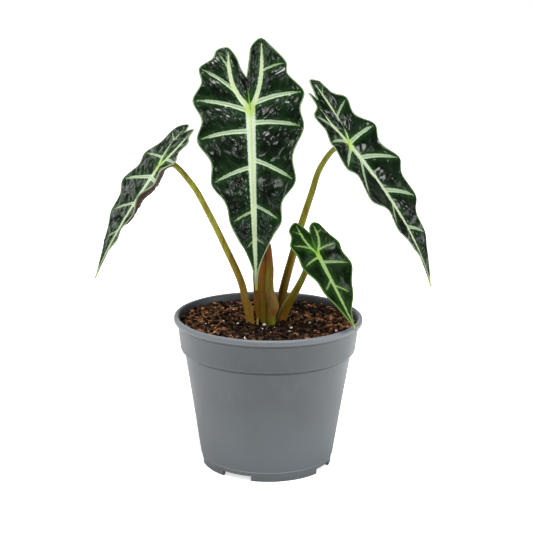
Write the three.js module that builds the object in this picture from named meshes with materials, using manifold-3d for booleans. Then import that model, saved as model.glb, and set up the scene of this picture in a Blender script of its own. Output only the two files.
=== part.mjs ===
// A potted alocasia polly: three grown leaves and a young one on their stalks, in a
// 13 cm nursery pot. Millimetres, +Z up. The origin is the centre of the pot's foot,
// -Y is the side that the leaves face and +X is to their right.

import * as THREE from 'three';
import { mergeVertices } from 'three/addons/utils/BufferGeometryUtils.js';
import Module from 'manifold-3d';

// The gap that touching pieces keep between their meshes
const CLEARANCE = 0.3;

// Nursery pot: radii and heights
const POT_HEIGHT = 105;
const LIP_RADIUS = 65;
const LIP_DEPTH = 4.2;
const COLLAR_TOP_RADIUS = 62.6;
const COLLAR_FOOT_RADIUS = 60.4;
const COLLAR_FOOT_HEIGHT = 82;
const BODY_TOP_RADIUS = 57.6;
const BODY_TOP_HEIGHT = 79.5;
const LEDGE_RADIUS = 46.2;
const LEDGE_HEIGHT = 6.4;
const FOOT_RADIUS = 45.2;
const FOOT_WIDTH = 2.6;
const FLOOR_UNDERSIDE = 4;
const POT_WALL = 1.5;
const POT_SEGMENTS = 48;
// Notches in the foot ring: centre and width in degrees from the front, + to the right
const FOOT_NOTCHES = [[-27, 23], [61, 19], [-84, 12], [152, 23], [-150, 12]];
const NOTCH_HEIGHT = 3.6;
const DRAIN_HOLE_RADIUS = 4;
const DRAIN_HOLE_RING = 34;
const DRAIN_HOLES = 6;

// Soil
const SOIL_LEVEL = 97.5;
const SOIL_RELIEF = 1.1;

// Corm and roots under the stalks
const CORM_TOP = 87.7;
const CORM_RADIUS = 18.5;
const CORM_LENGTH = 34;
const ROOTS = 6;
const ROOT_RADIUS = 2;

// Stalks: foot level, sides and rings
const STALK_FOOT = CORM_TOP + CLEARANCE;
const STALK_SIDES = 10;
const STALK_RINGS = 18;

// Blades
const BLADE_THICKNESS = 0.9;
const VEIN_THICKNESS = 0.8;
const KEEL_DEPTH = 1.1;
const RIB_FOOT_WIDTH = 3.4;
const RIB_END_WIDTH = 1.8;
const RIB_STOP = 3;
// The blade is narrower than this where its bulge between the ribs fades
const BULGE_SPAN = 20;
// How much of the fold is gone at the tip, and how far back the rear lobes reach
const FOLD_TAPER = 0.6;
const REAR_REACH = 45;
// The crease between the rear lobes: how far it reaches back, and how wide it is
const RIDGE_LENGTH = 40;
const RIDGE_HALF_WIDTH = 8;
// How much of the rear vein lies beside the seam of lobes that part at its very end
const SEAM_SHARE = 0.8;
// How close to the margin its curl stays: the power of the share of the way there
const CURL_POWER = 4;
// Where lines of the blade's mesh run between one rib, at 0, and the next, at 1
const BETWEEN_RIBS = [0.22, 0.5, 0.68, 0.86];

// Each leaf. at: where the stalk meets the blade. swing: how far the tip points to
// +X, lean: towards -Y, roll: the face turned to -X. length: from there to the tip.
// droop: how far the midrib bends back. bow: how much the ribs bow to the rear. fold:
// rise of the left and right half. rearRise: extra height of the rear lobes, and ridge:
// height of the crease between them. midrib: its half width where it starts. bulge: how
// far the blade swells between two ribs, and wave: how far its margin goes up and down.
// Each half is drawn flat, in mm across and along the midrib (rear lobes negative). Its
// rows go from the rear lobe to the tip: where the rib leaves the midrib or the rear
// vein, the outermost point of the margin at the rib's end, the innermost point of the
// bay after it, and how far the margin is curled up at the one and at the other. The
// first row is the rear vein itself: its end is vein, and its outermost point is the
// top of the lobe. inner is the margin between the sinus, where the lobes part, and
// the top of the lobe.
const LEAVES = {
  centre: {
    at: [-13.4, -8, 247.2], swing: 2.7, lean: 16.8, roll: -1, length: 122.4, droop: 22,
    bow: 0.2, fold: [6, 6], rearRise: 1, ridge: 0.6, midrib: 3.3, bulge: 1.8, wave: 0.9,
    sinus: [-2, -22],
    left: {
      vein: [13.5, -38], inner: [[5, -27], [8, -35]], rows: [
        [-38, 13.5, -41.5, 17.7, -41, 0, 0], [-27, 21.5, -39.5, 24.2, -34, 0, 0],
        [-12, 33, -28, 32, -18, 0, 0], [1.5, 38, -6.5, 32.5, 7, 0, 0],
        [14.5, 36, 20, 27.2, 35, 0, 0], [38, 27.4, 49, 18.5, 62, 0, 0],
        [67, 15.9, 75.5, 10.5, 87, 0, 0], [86, 6.8, 93.5, 2.3, 106, 0, 0]],
    },
    right: {
      vein: [8.7, -43], inner: [[0, -34], [1.7, -42]], rows: [
        [-43, 8.5, -47.5, 16, -40.5, 0, 0], [-25, 25, -30, 25.3, -23, 0, 0],
        [-4, 36, -10, 33, 1, 0, 0], [9, 35, 13, 27, 32, 0, 0],
        [33, 28.3, 48.5, 19, 62, 0, 0], [63, 18.2, 75, 12.5, 84, 0, 0],
        [85, 8.5, 91.5, 2.5, 105, 0, 0]],
    },
  },
  left: {
    at: [-74.4, -3, 207.1], swing: -35.4, lean: 20, roll: 69.6, length: 86, droop: 13,
    bow: 0.1, fold: [14, 1], rearRise: -4, ridge: 3, midrib: 2.1, bulge: 1.5, wave: 0.6,
    sinus: [0, -30],
    left: {
      vein: [6, -31], inner: [[2.5, -34]], rows: [
        [-31, 6, -37, 11, -34, 0, 0], [-21.5, 16.5, -28.5, 16.2, -17.5, 0, 0],
        [-7.5, 24.2, -6, 19.5, 3, 0, 0], [8, 28, 17, 19.5, 28, 0, 0],
        [29, 20.7, 40, 12.8, 50.5, 0, 0], [50, 10.6, 60, 4, 70, 0, 0]],
    },
    right: {
      vein: [5, -30], inner: [[1.5, -32.5]], rows: [
        [-30, 4, -34.5, 8.5, -27.5, 0, 0], [-19, 11.5, -23, 13.5, -15, 0, 0.5],
        [-7, 24, -4, 27.5, 6, 2.5, 6], [9, 29.5, 16.5, 25, 27, 6.5, 8],
        [30, 17, 38.5, 8, 50, 3, 0.5], [52, 5, 57, 2, 68, 0, 0]],
    },
  },
  right: {
    at: [53.4, 8, 221.7], swing: 39.9, lean: -6, roll: -64, length: 123, droop: 24.3,
    bow: 0.15, fold: [12, 13.5], rearRise: 3.5, ridge: 4.5, midrib: 2.3, bulge: 1.8, wave: 0.8,
    sinus: [0, -39],
    left: {
      vein: [7.2, -41], inner: [[2, -43]], rows: [
        [-41, 4.3, -47.2, 12, -38.5, 0, 0], [-17.5, 25, -37, 27.5, -25, 0, 0],
        [-4, 30, -17, 33.5, -13, 0, 0], [2, 33.5, 3.5, 31.5, 11, 0, 1],
        [13, 36.5, 28.5, 20.5, 47, 1.5, 1], [51, 20.5, 62, 14, 75.5, 1, 0],
        [79, 6, 87, 2.5, 100, 0, 0]],
    },
    right: {
      vein: [7, -46], inner: [[2.5, -46]], rows: [
        [-46, 6.7, -51.5, 11, -47, 0, 0], [-38, 14.2, -43, 15.5, -34, 0, 0],
        [-20, 26, -22.5, 21, -12, 0.5, 0.5], [-1, 34, 7, 25.2, 16, 0.5, 0.5],
        [11, 35.7, 37.5, 26.2, 44, 0, 0], [40, 29.2, 66, 18, 71.5, 0, 0],
        [72, 19.5, 90.5, 10.7, 98, 0, 0]],
    },
  },
  small: {
    at: [32, -22, 153.7], swing: 30.3, lean: 28, roll: -30, length: 58, droop: 5,
    bow: 0.2, fold: [10, 10], rearRise: 1, ridge: 0.8, midrib: 1.6, bulge: 0.7, wave: 0.3,
    sinus: [1.5, -15],
    left: {
      vein: [5, -22], inner: [[0.5, -19.5]], rows: [
        [-22, 4.5, -25, 9, -23.5, 0, 0], [-15.5, 12, -20.5, 13, -15.5, 0, 0],
        [-4, 16.5, -10, 15.3, -1.5, 0, 0], [3, 15.5, 8, 10.8, 18.5, 0, 0],
        [21, 9, 29, 4.8, 41, 0, 0]],
    },
    right: {
      vein: [6.3, -18.3], inner: [[3.3, -19]], rows: [
        [-18.3, 7, -21, 10.3, -18.5, 0, 0], [-12.5, 11.8, -14.8, 13.3, -9.5, 0, 0],
        [-2, 17, -1, 16, 5, 0, 0], [7, 18, 16, 12.5, 27, 0, 0],
        [25, 9.5, 35.5, 3, 46, 0, 0]],
    },
  },
};

// Each stalk from the soil up: points of its centreline, and its radius at the foot,
// half way and at the top. Its last stretch comes over behind the rear lobes: arrival
// is how much of its direction there is along the midrib and how much is along the
// face's normal. wings are thin edges of leaf sheath that stand out from its foot:
// towards which side, and how far from the centreline at each height.
const STALKS = {
  centre: {
    route: [[-2.2, -4, 97], [-4, -2, 130], [-7, 2, 170], [-11, 8, 215], [-14, 8, 243]],
    radii: [3.6, 2.6, 2.1], arrival: [0.75, 0.65],
    wings: [{ side: [-1, 0.15], reach: [[88, 5], [100, 5.8], [112, 7], [134, 7], [150, 1]] }],
  },
  left: {
    route: [[-12, -3, 97], [-15.7, -2, 115.6], [-18.8, -1, 128], [-30, 1, 152.5],
      [-41.3, 3, 175], [-52.6, 4, 194.5]],
    radii: [2.9, 2.3, 1.9], arrival: [1, 0.5],
    wings: [{ side: [0.9, -0.44], reach: [[88, 2], [98, 3.4], [112, 4.2], [122, 1]] }],
  },
  right: {
    route: [[6, 9.5, 97], [10, 10, 119], [16.2, 11, 144], [22.3, 12, 167], [28.4, 13, 187],
      [34.5, 13, 206]],
    radii: [3.6, 2.6, 1.8], arrival: [0.4, 0.8], wings: [],
  },
  small: {
    route: [[8.4, 1.2, 97], [12.6, 0, 111], [18.6, -4, 123], [24.8, -9, 138]],
    radii: [4.2, 2.5, 1.5], arrival: [0.75, 0.65], wings: [],
  },
};
const WING_THICKNESS = 1;

// The old sheath that has come away from the centre stalk's right side: a gutter whose
// open side is turned to the stalk. Height, centre, radius, and its two edges' turn.
const OLD_SHEATH = [
  [88, 2.6, -6, 2.2, -140, 80], [97, 2.6, -6, 2.2, -140, 80], [104, 2, -5.6, 2.8, -145, 80],
  [112, 3.2, -5.5, 3.8, -165, 85], [118, 2.2, -5, 3.2, -160, 90], [124, 1.1, -4, 2.3, -150, 95],
  [139, 0.9, -1.6, 2, -160, 95], [150, 0.2, -0.6, 1.5, -165, 80], [155, -0.3, -0.4, 1.2, -140, 40],
];
const SHEATH_THICKNESS = 0.8;

// The small pale bract at the centre stalk's foot: height, centre and half width
const BRACT = [[88, -7.4, -9.4, 1], [98, -7.4, -9.4, 1], [102, -7.3, -9.2, 0.8], [105, -7.2, -8.8, 0.3]];
const BRACT_THICKNESS = 0.9;
const LAST_STRETCH = 8;

const radians = THREE.MathUtils.degToRad;
const lerp = THREE.MathUtils.lerp;
const clamp = THREE.MathUtils.clamp;

const wasm = await Module();
wasm.setup();

// A geometry of merged positions, with no triangle that has lost a corner
function closedGeometry(geometry) {
  geometry.deleteAttribute('normal');
  geometry.deleteAttribute('uv');
  const merged = mergeVertices(geometry, 1e-4);
  const kept = [];
  const index = merged.index.array;
  for (let i = 0; i < index.length; i += 3) {
    const [a, b, c] = [index[i], index[i + 1], index[i + 2]];
    if (a !== b && b !== c && c !== a) kept.push(a, b, c);
  }
  merged.setIndex(kept);
  return merged;
}

function solidOf(geometry) {
  const closed = closedGeometry(geometry);
  return new wasm.Manifold(new wasm.Mesh({
    numProp: 3,
    vertProperties: new Float32Array(closed.attributes.position.array),
    triVerts: new Uint32Array(closed.index.array),
  }));
}

function geometryOf(solid) {
  const mesh = solid.getMesh();
  return meshGeometry(Array.from(mesh.vertProperties), Array.from(mesh.triVerts));
}

function meshGeometry(positions, triangles) {
  const geometry = new THREE.BufferGeometry();
  geometry.setAttribute('position', new THREE.Float32BufferAttribute(positions, 3));
  geometry.setIndex(triangles);
  return geometry;
}

// A turned solid about the Z axis from [radius, height] points, from axis to axis
function turned(profile, segments) {
  const points = profile.map(([radius, height]) => new THREE.Vector2(radius, height));
  return new THREE.LatheGeometry(points, segments).rotateX(Math.PI / 2);
}

// A round, tapering tube along a curve. radiusAt gives the radius at 0 to 1 of its
// length, and endPlane, a point and a normal, is the plane that its top is cut to.
function taperedTube(curve, radiusAt, sides, rings, endPlane) {
  const frames = curve.computeFrenetFrames(rings, false);
  const positions = [];
  const triangles = [];
  for (let ring = 0; ring <= rings; ring++) {
    const centre = curve.getPointAt(ring / rings);
    const radius = radiusAt(ring / rings);
    for (let side = 0; side < sides; side++) {
      const turn = (2 * Math.PI * side) / sides;
      const point = centre.clone()
        .addScaledVector(frames.normals[ring], radius * Math.cos(turn))
        .addScaledVector(frames.binormals[ring], radius * Math.sin(turn));
      if (endPlane && ring === rings) {
        const tangent = frames.tangents[ring];
        const reach = endPlane.point.clone().sub(point).dot(endPlane.normal);
        point.addScaledVector(tangent, reach / tangent.dot(endPlane.normal));
      }
      positions.push(...point);
    }
  }
  for (let ring = 0; ring < rings; ring++) {
    for (let side = 0; side < sides; side++) {
      const a = ring * sides + side;
      const b = ring * sides + ((side + 1) % sides);
      triangles.push(a, b, b + sides, a, b + sides, a + sides);
    }
  }
  const top = rings * sides;
  for (let side = 1; side < sides - 1; side++) {
    triangles.push(0, side + 1, side, top, top + side, top + side + 1);
  }
  return meshGeometry(positions, triangles);
}

function curveThrough(points) {
  return new THREE.CatmullRomCurve3(points.map((point) => new THREE.Vector3(...point)));
}

// A blade's flat drawing is carried onto its bent midrib by this frame
function bladeFrame(leaf) {
  const [swing, lean, roll, droop] = [leaf.swing, leaf.lean, leaf.roll, leaf.droop].map(radians);
  const tipward = new THREE.Vector3(
    Math.sin(swing) * Math.cos(lean), -Math.sin(lean), -Math.cos(swing) * Math.cos(lean));
  const front = new THREE.Vector3(0, -1, 0).addScaledVector(tipward, tipward.y).normalize();
  const side = front.clone().cross(tipward);
  const face = front.clone().multiplyScalar(Math.cos(roll)).addScaledVector(side, -Math.sin(roll));
  const across = face.clone().cross(tipward);
  const start = new THREE.Vector3(...leaf.at);
  const steps = Math.ceil(leaf.length);
  const step = leaf.length / steps;
  const bendAt = (along) => droop * Math.pow(clamp(along / leaf.length, 0, 1), 1.5);
  const direction = (bend) => tipward.clone().multiplyScalar(Math.cos(bend))
    .addScaledVector(face, -Math.sin(bend));
  const midrib = [start];
  for (let i = 0; i < steps; i++) {
    midrib.push(midrib[i].clone().addScaledVector(direction(bendAt((i + 0.5) * step)), step));
  }
  function place(u, v, height) {
    const bend = bendAt(v);
    const at = clamp(v / step, 0, steps - 1e-6);
    const i = Math.floor(at);
    const point = v < 0
      ? start.clone().addScaledVector(tipward, v)
      : midrib[i].clone().lerp(midrib[i + 1], at - i);
    const normal = face.clone().multiplyScalar(Math.cos(bend))
      .addScaledVector(tipward, Math.sin(bend));
    return point.addScaledVector(across, u).addScaledVector(normal, height);
  }
  return { place, tipward, face, start };
}

// One half of a blade: its skeleton, which is the rear vein and then the midrib, and
// its margin, both followed by the number of the row that they have come to.
function bladeHalf(leaf, sign) {
  const half = sign < 0 ? leaf.left : leaf.right;
  const rows = half.rows;
  const last = rows.length;
  const margin = [[leaf.sinus[0], leaf.sinus[1], 0]];
  for (const [u, v] of half.inner) margin.push([sign * u, v, 0]);
  const lobeTop = margin.length;
  for (const [, crestU, crestV, bayU, bayV, crestCurl, bayCurl] of rows) {
    margin.push([sign * crestU, crestV, crestCurl - leaf.wave]);
    margin.push([sign * bayU, bayV, bayCurl + leaf.wave]);
  }
  margin.push([0, leaf.length, 0]);
  const curve = curveThrough(margin);
  // 0 at the top of the lobe, 1 at the first rib and so on to the tip
  const marginAt = (row) => curve.getPoint((lobeTop + 2 * row) / (margin.length - 1));
  const innerMarginAt = (share) => curve.getPoint((share * lobeTop) / (margin.length - 1));
  const skeletonRows = [...rows.map((row) => row[0]), leaf.length];
  const alongAt = (row) => {
    const k = clamp(Math.floor(row), 0, last - 1);
    return lerp(skeletonRows[k], skeletonRows[k + 1], row - k);
  };
  const skeletonAt = (along) => along < 0
    ? [sign * half.vein[0] * (1 - (1 - along / half.vein[1]) ** 3), along]
    : [0, along];
  return { last, marginAt, innerMarginAt, alongAt, skeletonAt, rearEnd: half.vein[1], sign };
}

// The half width of the pale vein along the skeleton
function veinHalfWidth(leaf, along) {
  const share = along < 0
    ? 0.85 + (0.6 * along) / REAR_REACH
    : 1 - 0.74 * (along / leaf.length);
  return leaf.midrib * share;
}

// The lines from skeleton to margin that a half is meshed on. Each has its places on
// both, its order along the skeleton, and whether it and the next bound a rib.
function halfLines(leaf, half) {
  const lines = [];
  const rearNodes = 3;
  const seam = [0, 0.25, 0.5, 0.75, 1];
  const seamShare = SEAM_SHARE * Math.min(leaf.sinus[1] / half.rearEnd, 1);
  const rearLength = -half.rearEnd;
  const sinus = new THREE.Vector3(leaf.sinus[0], leaf.sinus[1], 0);
  const push = (order, along, edge, row, rib) => lines.push({ order, along, edge, row, rib });
  for (const share of seam) {
    push(-rearLength * (1 - seamShare * share), half.rearEnd * seamShare * share,
      sinus.clone().multiplyScalar(share), null, false);
  }
  for (let i = 1; i <= rearNodes; i++) {
    const beyond = i / (rearNodes + 0.5);
    const share = lerp(seamShare, 1, beyond);
    push(-rearLength * (1 - share), half.rearEnd * share,
      half.innerMarginAt(beyond), null, false);
  }
  const outward = (row, rib, shift = 0, edgeShift = 0) => {
    const along = half.alongAt(row) + shift;
    push(along - half.rearEnd, along, half.marginAt(row + edgeShift), row, rib);
  };
  outward(0, false);
  for (let k = 0; k < half.last; k++) {
    if (k > 0) {
      const size = clamp(half.marginAt(k).distanceTo(new THREE.Vector3(
        ...half.skeletonAt(half.alongAt(k)), 0)) / 30, 0.45, 1);
      const foot = (RIB_FOOT_WIDTH * size) / 2;
      const pace = half.marginAt(k + 0.1).distanceTo(half.marginAt(k - 0.1)) / 0.2;
      const end = (RIB_END_WIDTH * size) / 2 / pace;
      outward(k, true, -foot, -end);
      outward(k, false, foot, end);
    }
    for (const part of BETWEEN_RIBS) outward(k + part, false);
  }
  outward(half.last, false);
  return lines;
}

// Builds the blade's middle surface: shared points, and triangles marked as vein or not
function bladeSheet(leaf) {
  const frame = bladeFrame(leaf);
  const points = [];
  const keys = new Map();
  const triangles = [];
  const add = (u, v, height, keel) => {
    const key = `${u.toFixed(3)} ${v.toFixed(3)}`;
    if (!keys.has(key)) {
      keys.set(key, points.length);
      points.push({ position: frame.place(u, v, height), keel });
    }
    return keys.get(key);
  };
  const halves = [-1, 1].map((sign) => bladeHalf(leaf, sign));
  const allLines = halves.map((half) => halfLines(leaf, half));
  const midribPlaces = allLines.flat().filter((line) => line.along >= 0).map((line) => line.along);
  halves.forEach((half, number) => {
    const fold = Math.tan(radians(leaf.fold[number]));
    const heightAt = (u, v) => {
      const folded = Math.abs(u) * fold * (1 - FOLD_TAPER * clamp(v / leaf.length, 0, 1));
      const raised = leaf.rearRise * clamp(-v / REAR_REACH, 0, 1);
      const ridge = leaf.ridge * Math.sin(Math.PI * clamp(-v / RIDGE_LENGTH, 0, 1))
        * Math.max(0, 1 - Math.abs(u) / RIDGE_HALF_WIDTH) ** 2;
      return folded + raised + ridge;
    };
    const lines = allLines[number];
    const grid = lines.map((line) => {
      const [startU, startV] = half.skeletonAt(line.along);
      const span = Math.hypot(line.edge.x - startU, line.edge.y - startV);
      const pale = Math.min(veinHalfWidth(leaf, line.along), 0.4 * span) / Math.max(span, 0.01);
      const stop = Math.max(1 - RIB_STOP / Math.max(span, 0.01), 0.65);
      const shares = [pale, lerp(pale, stop, 0.45), stop, 1];
      const between = line.row === null ? 0 : Math.sin(Math.PI * (line.row % 1)) ** 2;
      const bulge = leaf.bulge * between * Math.min(1, span / BULGE_SPAN);
      return shares.map((share, ring) => {
        const u = lerp(startU, line.edge.x, share);
        const bow = line.row === null ? 0 : leaf.bow * span * share * (1 - share);
        const v = lerp(startV, line.edge.y, share) - bow;
        const outFromVein = (share - pale) / (1 - pale);
        const relief = bulge * Math.sin(Math.PI * Math.min(1.1 * outFromVein, 1));
        const height = heightAt(u, v) + line.edge.z * share ** CURL_POWER + relief;
        return add(u, v, height, ring === 0 ? 0.4 * KEEL_DEPTH : 0);
      });
    });
    // The skeleton's own points, once up the rear vein and then down it to the tip
    const rear = lines.filter((line) => line.along < 0).map((line) => line.along);
    const rearPlaces = [...new Set([0, half.rearEnd, ...rear])].sort((a, b) => b - a);
    const midrib = [...new Set([0, leaf.length, ...midribPlaces])].sort((a, b) => a - b);
    const path = [
      ...rearPlaces.map((along) => ({ order: half.rearEnd - along, along })),
      ...rearPlaces.slice().reverse().slice(1, -1)
        .map((along) => ({ order: along - half.rearEnd, along })),
      ...midrib.map((along) => ({ order: along - half.rearEnd, along })),
    ];
    const spine = path.map(({ order, along }) => {
      const [u, v] = half.skeletonAt(along);
      const keel = KEEL_DEPTH * veinHalfWidth(leaf, along) / leaf.midrib;
      return { order, id: add(u, v, heightAt(u, v), keel) };
    });
    const triangle = (a, b, c, vein) => {
      if (a === b || b === c || c === a) return;
      triangles.push({ corners: half.sign > 0 ? [a, c, b] : [a, b, c], vein });
    };
    // Between the skeleton and the first ring, point by point in their common order
    let i = 0;
    let j = 0;
    while (i < spine.length - 1 || j < lines.length - 1) {
      const spineNext = i < spine.length - 1 ? spine[i + 1].order : Infinity;
      const lineNext = j < lines.length - 1 ? lines[j + 1].order : Infinity;
      if (spineNext <= lineNext) {
        triangle(spine[i].id, grid[j][0], spine[i + 1].id, true);
        i += 1;
      } else {
        triangle(spine[i].id, grid[j][0], grid[j + 1][0], true);
        j += 1;
      }
    }
    for (let k = 0; k < lines.length - 1; k++) {
      for (let ring = 0; ring < 3; ring++) {
        const vein = lines[k].rib && ring < 2;
        const [a, b] = [grid[k][ring], grid[k][ring + 1]];
        const [c, d] = [grid[k + 1][ring + 1], grid[k + 1][ring]];
        triangle(a, b, c, vein);
        triangle(a, c, d, vein);
      }
    }
  });
  return { points, normals: normalsOf(points, triangles), triangles, frame };
}

function normalsOf(points, triangles) {
  const normals = points.map(() => new THREE.Vector3());
  for (const { corners } of triangles) {
    const [a, b, c] = corners.map((corner) => points[corner].position);
    const normal = b.clone().sub(a).cross(c.clone().sub(a));
    corners.forEach((corner) => normals[corner].add(normal));
  }
  return normals.map((normal) => normal.normalize());
}

// A closed skin round some of a sheet's triangles: its top and bottom lie at these
// heights over the sheet, the bottom lower by the keel where deepen is set
function skinned(sheet, triangles, top, bottom, deepen) {
  const used = new Map();
  const positions = [];
  const place = (corner) => {
    if (!used.has(corner)) {
      used.set(corner, used.size);
      const { position, keel } = sheet.points[corner];
      const normal = sheet.normals[corner];
      positions.push(...position.clone().addScaledVector(normal, top));
      const low = bottom - (deepen ? keel : 0);
      positions.push(...position.clone().addScaledVector(normal, low));
    }
    return 2 * used.get(corner);
  };
  const edges = new Map();
  const faces = [];
  for (const { corners } of triangles) {
    const [a, b, c] = corners.map(place);
    faces.push(a, b, c, a + 1, c + 1, b + 1);
    for (const [from, to] of [[a, b], [b, c], [c, a]]) {
      const back = `${to} ${from}`;
      if (edges.has(back)) edges.delete(back);
      else edges.set(`${from} ${to}`, [from, to]);
    }
  }
  for (const [from, to] of edges.values()) {
    faces.push(from, from + 1, to + 1, from, to + 1, to);
  }
  return meshGeometry(positions, faces);
}

function blade(sheet) {
  return skinned(sheet, sheet.triangles, BLADE_THICKNESS / 2, -BLADE_THICKNESS / 2, true);
}

function veins(sheet) {
  const pale = sheet.triangles.filter((triangle) => triangle.vein);
  const foot = BLADE_THICKNESS / 2 + CLEARANCE;
  return skinned(sheet, pale, foot + VEIN_THICKNESS, foot, false);
}

// A thin curved strip from rows of points across it, from its foot to its tip
function strip(rows, thickness) {
  const points = rows.flat().map((position) => ({ position, keel: 0 }));
  const width = rows[0].length;
  const triangles = [];
  for (let row = 0; row < rows.length - 1; row++) {
    for (let a = row * width; a < row * width + width - 1; a++) {
      triangles.push({ corners: [a, a + 1, a + width + 1] });
      triangles.push({ corners: [a, a + width + 1, a + width] });
    }
  }
  const sheet = { points, normals: normalsOf(points, triangles) };
  return skinned(sheet, triangles, thickness / 2, -thickness / 2, false);
}

// A leaf's stalk, from the corm up and over to the back of the blade
function stalk(name, frame, grow = 0) {
  const { route, radii, arrival: [along, through], wings } = STALKS[name];
  const arrival = frame.tipward.clone().multiplyScalar(along)
    .addScaledVector(frame.face, through).normalize();
  const seat = BLADE_THICKNESS / 2 + KEEL_DEPTH + CLEARANCE;
  const end = frame.start.clone().addScaledVector(frame.face, -seat);
  const before = end.clone().addScaledVector(arrival, -LAST_STRETCH);
  const [footX, footY] = route[0];
  const foot = [footX, footY, STALK_FOOT - grow];
  const curve = curveThrough([foot, ...route, before.toArray(), end.toArray()]);
  const radiusAt = (share) => grow + (share < 0.5
    ? lerp(radii[0], radii[1], 2 * share)
    : lerp(radii[1], radii[2], 2 * share - 1));
  const tube = taperedTube(curve, radiusAt, STALK_SIDES, STALK_RINGS,
    { point: end, normal: frame.face });
  return wings.reduce((solid, { side, reach }) => {
    const outward = new THREE.Vector3(...side, 0).normalize();
    const rows = reach.map(([height, distance], row) => {
      const centre = pointAtHeight(curve, row === 0 ? STALK_FOOT - grow : height);
      return [0, 0.5, 1].map((share) =>
        centre.clone().addScaledVector(outward, share * (distance + grow)));
    });
    return solid.add(solidOf(strip(rows, WING_THICKNESS + 2 * grow)));
  }, solidOf(tube));
}

// The point where a rising curve passes a height
function pointAtHeight(curve, height) {
  let [below, above] = [0, 1];
  for (let halving = 0; halving < 24; halving++) {
    const middle = (below + above) / 2;
    if (curve.getPoint(middle).z < height) below = middle;
    else above = middle;
  }
  return curve.getPoint(below);
}

function oldSheath(grow = 0) {
  const steps = 6;
  const rows = OLD_SHEATH.map(([height, x, y, radius, from, to], row) => {
    const margin = grow / radius;
    const points = [];
    for (let step = 0; step <= steps; step++) {
      const turn = lerp(radians(from) - margin, radians(to) + margin, step / steps);
      points.push(new THREE.Vector3(x + radius * Math.cos(turn), y + radius * Math.sin(turn),
        row === 0 ? height - grow : height));
    }
    return points;
  });
  return solidOf(strip(rows, SHEATH_THICKNESS + 2 * grow));
}

function bract(grow = 0) {
  const rows = BRACT.map(([height, x, y, halfWidth], row) => [-1, 0, 1].map((side) =>
    new THREE.Vector3(x + side * (halfWidth + grow), y + 0.3 * Math.abs(side),
      row === 0 ? height - grow : height)));
  return solidOf(strip(rows, BRACT_THICKNESS + 2 * grow));
}

// The pot: a turned shell with notches in its foot ring and holes in its floor
function pot() {
  const lipFoot = POT_HEIGHT - LIP_DEPTH;
  const outside = [
    [0, FLOOR_UNDERSIDE], [FOOT_RADIUS - FOOT_WIDTH - 0.6, FLOOR_UNDERSIDE],
    [FOOT_RADIUS - FOOT_WIDTH, 0], [FOOT_RADIUS - 0.2, 0],
    [FOOT_RADIUS + 0.2, LEDGE_HEIGHT], [LEDGE_RADIUS, LEDGE_HEIGHT + 0.5],
    [BODY_TOP_RADIUS, BODY_TOP_HEIGHT],
    [COLLAR_FOOT_RADIUS - 0.8, COLLAR_FOOT_HEIGHT - 0.9],
    [COLLAR_FOOT_RADIUS, COLLAR_FOOT_HEIGHT + 0.6],
    [COLLAR_TOP_RADIUS, lipFoot - 0.6], [LIP_RADIUS - 0.8, lipFoot],
    [LIP_RADIUS, lipFoot + 1.2], [LIP_RADIUS, POT_HEIGHT - 1.4],
    [LIP_RADIUS - 1.4, POT_HEIGHT],
  ];
  const inside = [
    [LIP_RADIUS - 3, POT_HEIGHT - 0.5], [LIP_RADIUS - 3.8, POT_HEIGHT - 2.2],
    [COLLAR_FOOT_RADIUS - POT_WALL, COLLAR_FOOT_HEIGHT + 0.6],
    [BODY_TOP_RADIUS - POT_WALL, BODY_TOP_HEIGHT - 0.6],
    [LEDGE_RADIUS - POT_WALL, FLOOR_UNDERSIDE + POT_WALL + 1],
    [LEDGE_RADIUS - POT_WALL - 1, FLOOR_UNDERSIDE + POT_WALL],
    [0, FLOOR_UNDERSIDE + POT_WALL],
  ];
  let shell = solidOf(turned([...outside, ...inside], POT_SEGMENTS));
  for (const [centre, width] of FOOT_NOTCHES) shell = shell.subtract(notchCutter(centre, width));
  for (let hole = 0; hole < DRAIN_HOLES; hole++) {
    const cutter = new THREE.CylinderGeometry(DRAIN_HOLE_RADIUS, DRAIN_HOLE_RADIUS, 8, 12)
      .rotateX(Math.PI / 2)
      .translate(DRAIN_HOLE_RING, 0, FLOOR_UNDERSIDE + POT_WALL / 2)
      .rotateZ((2 * Math.PI * (hole + 0.5)) / DRAIN_HOLES);
    shell = shell.subtract(solidOf(cutter));
  }
  return geometryOf(shell);
}

// A wedge with sloping ends that cuts one notch out of the foot ring
function notchCutter(centre, width) {
  const slope = 1.6;
  const halfWidth = (FOOT_RADIUS * radians(width)) / 2;
  const outline = new THREE.Shape([
    new THREE.Vector2(-halfWidth - slope, -2), new THREE.Vector2(halfWidth + slope, -2),
    new THREE.Vector2(halfWidth - slope, NOTCH_HEIGHT),
    new THREE.Vector2(-halfWidth + slope, NOTCH_HEIGHT),
  ]);
  const depth = 10;
  const cutter = new THREE.ExtrudeGeometry(outline, { depth, bevelEnabled: false });
  return solidOf(cutter.rotateX(Math.PI / 2)
    .translate(0, -(FOOT_RADIUS - FOOT_WIDTH - 1.5), 0)
    .rotateZ(radians(centre)));
}

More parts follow.
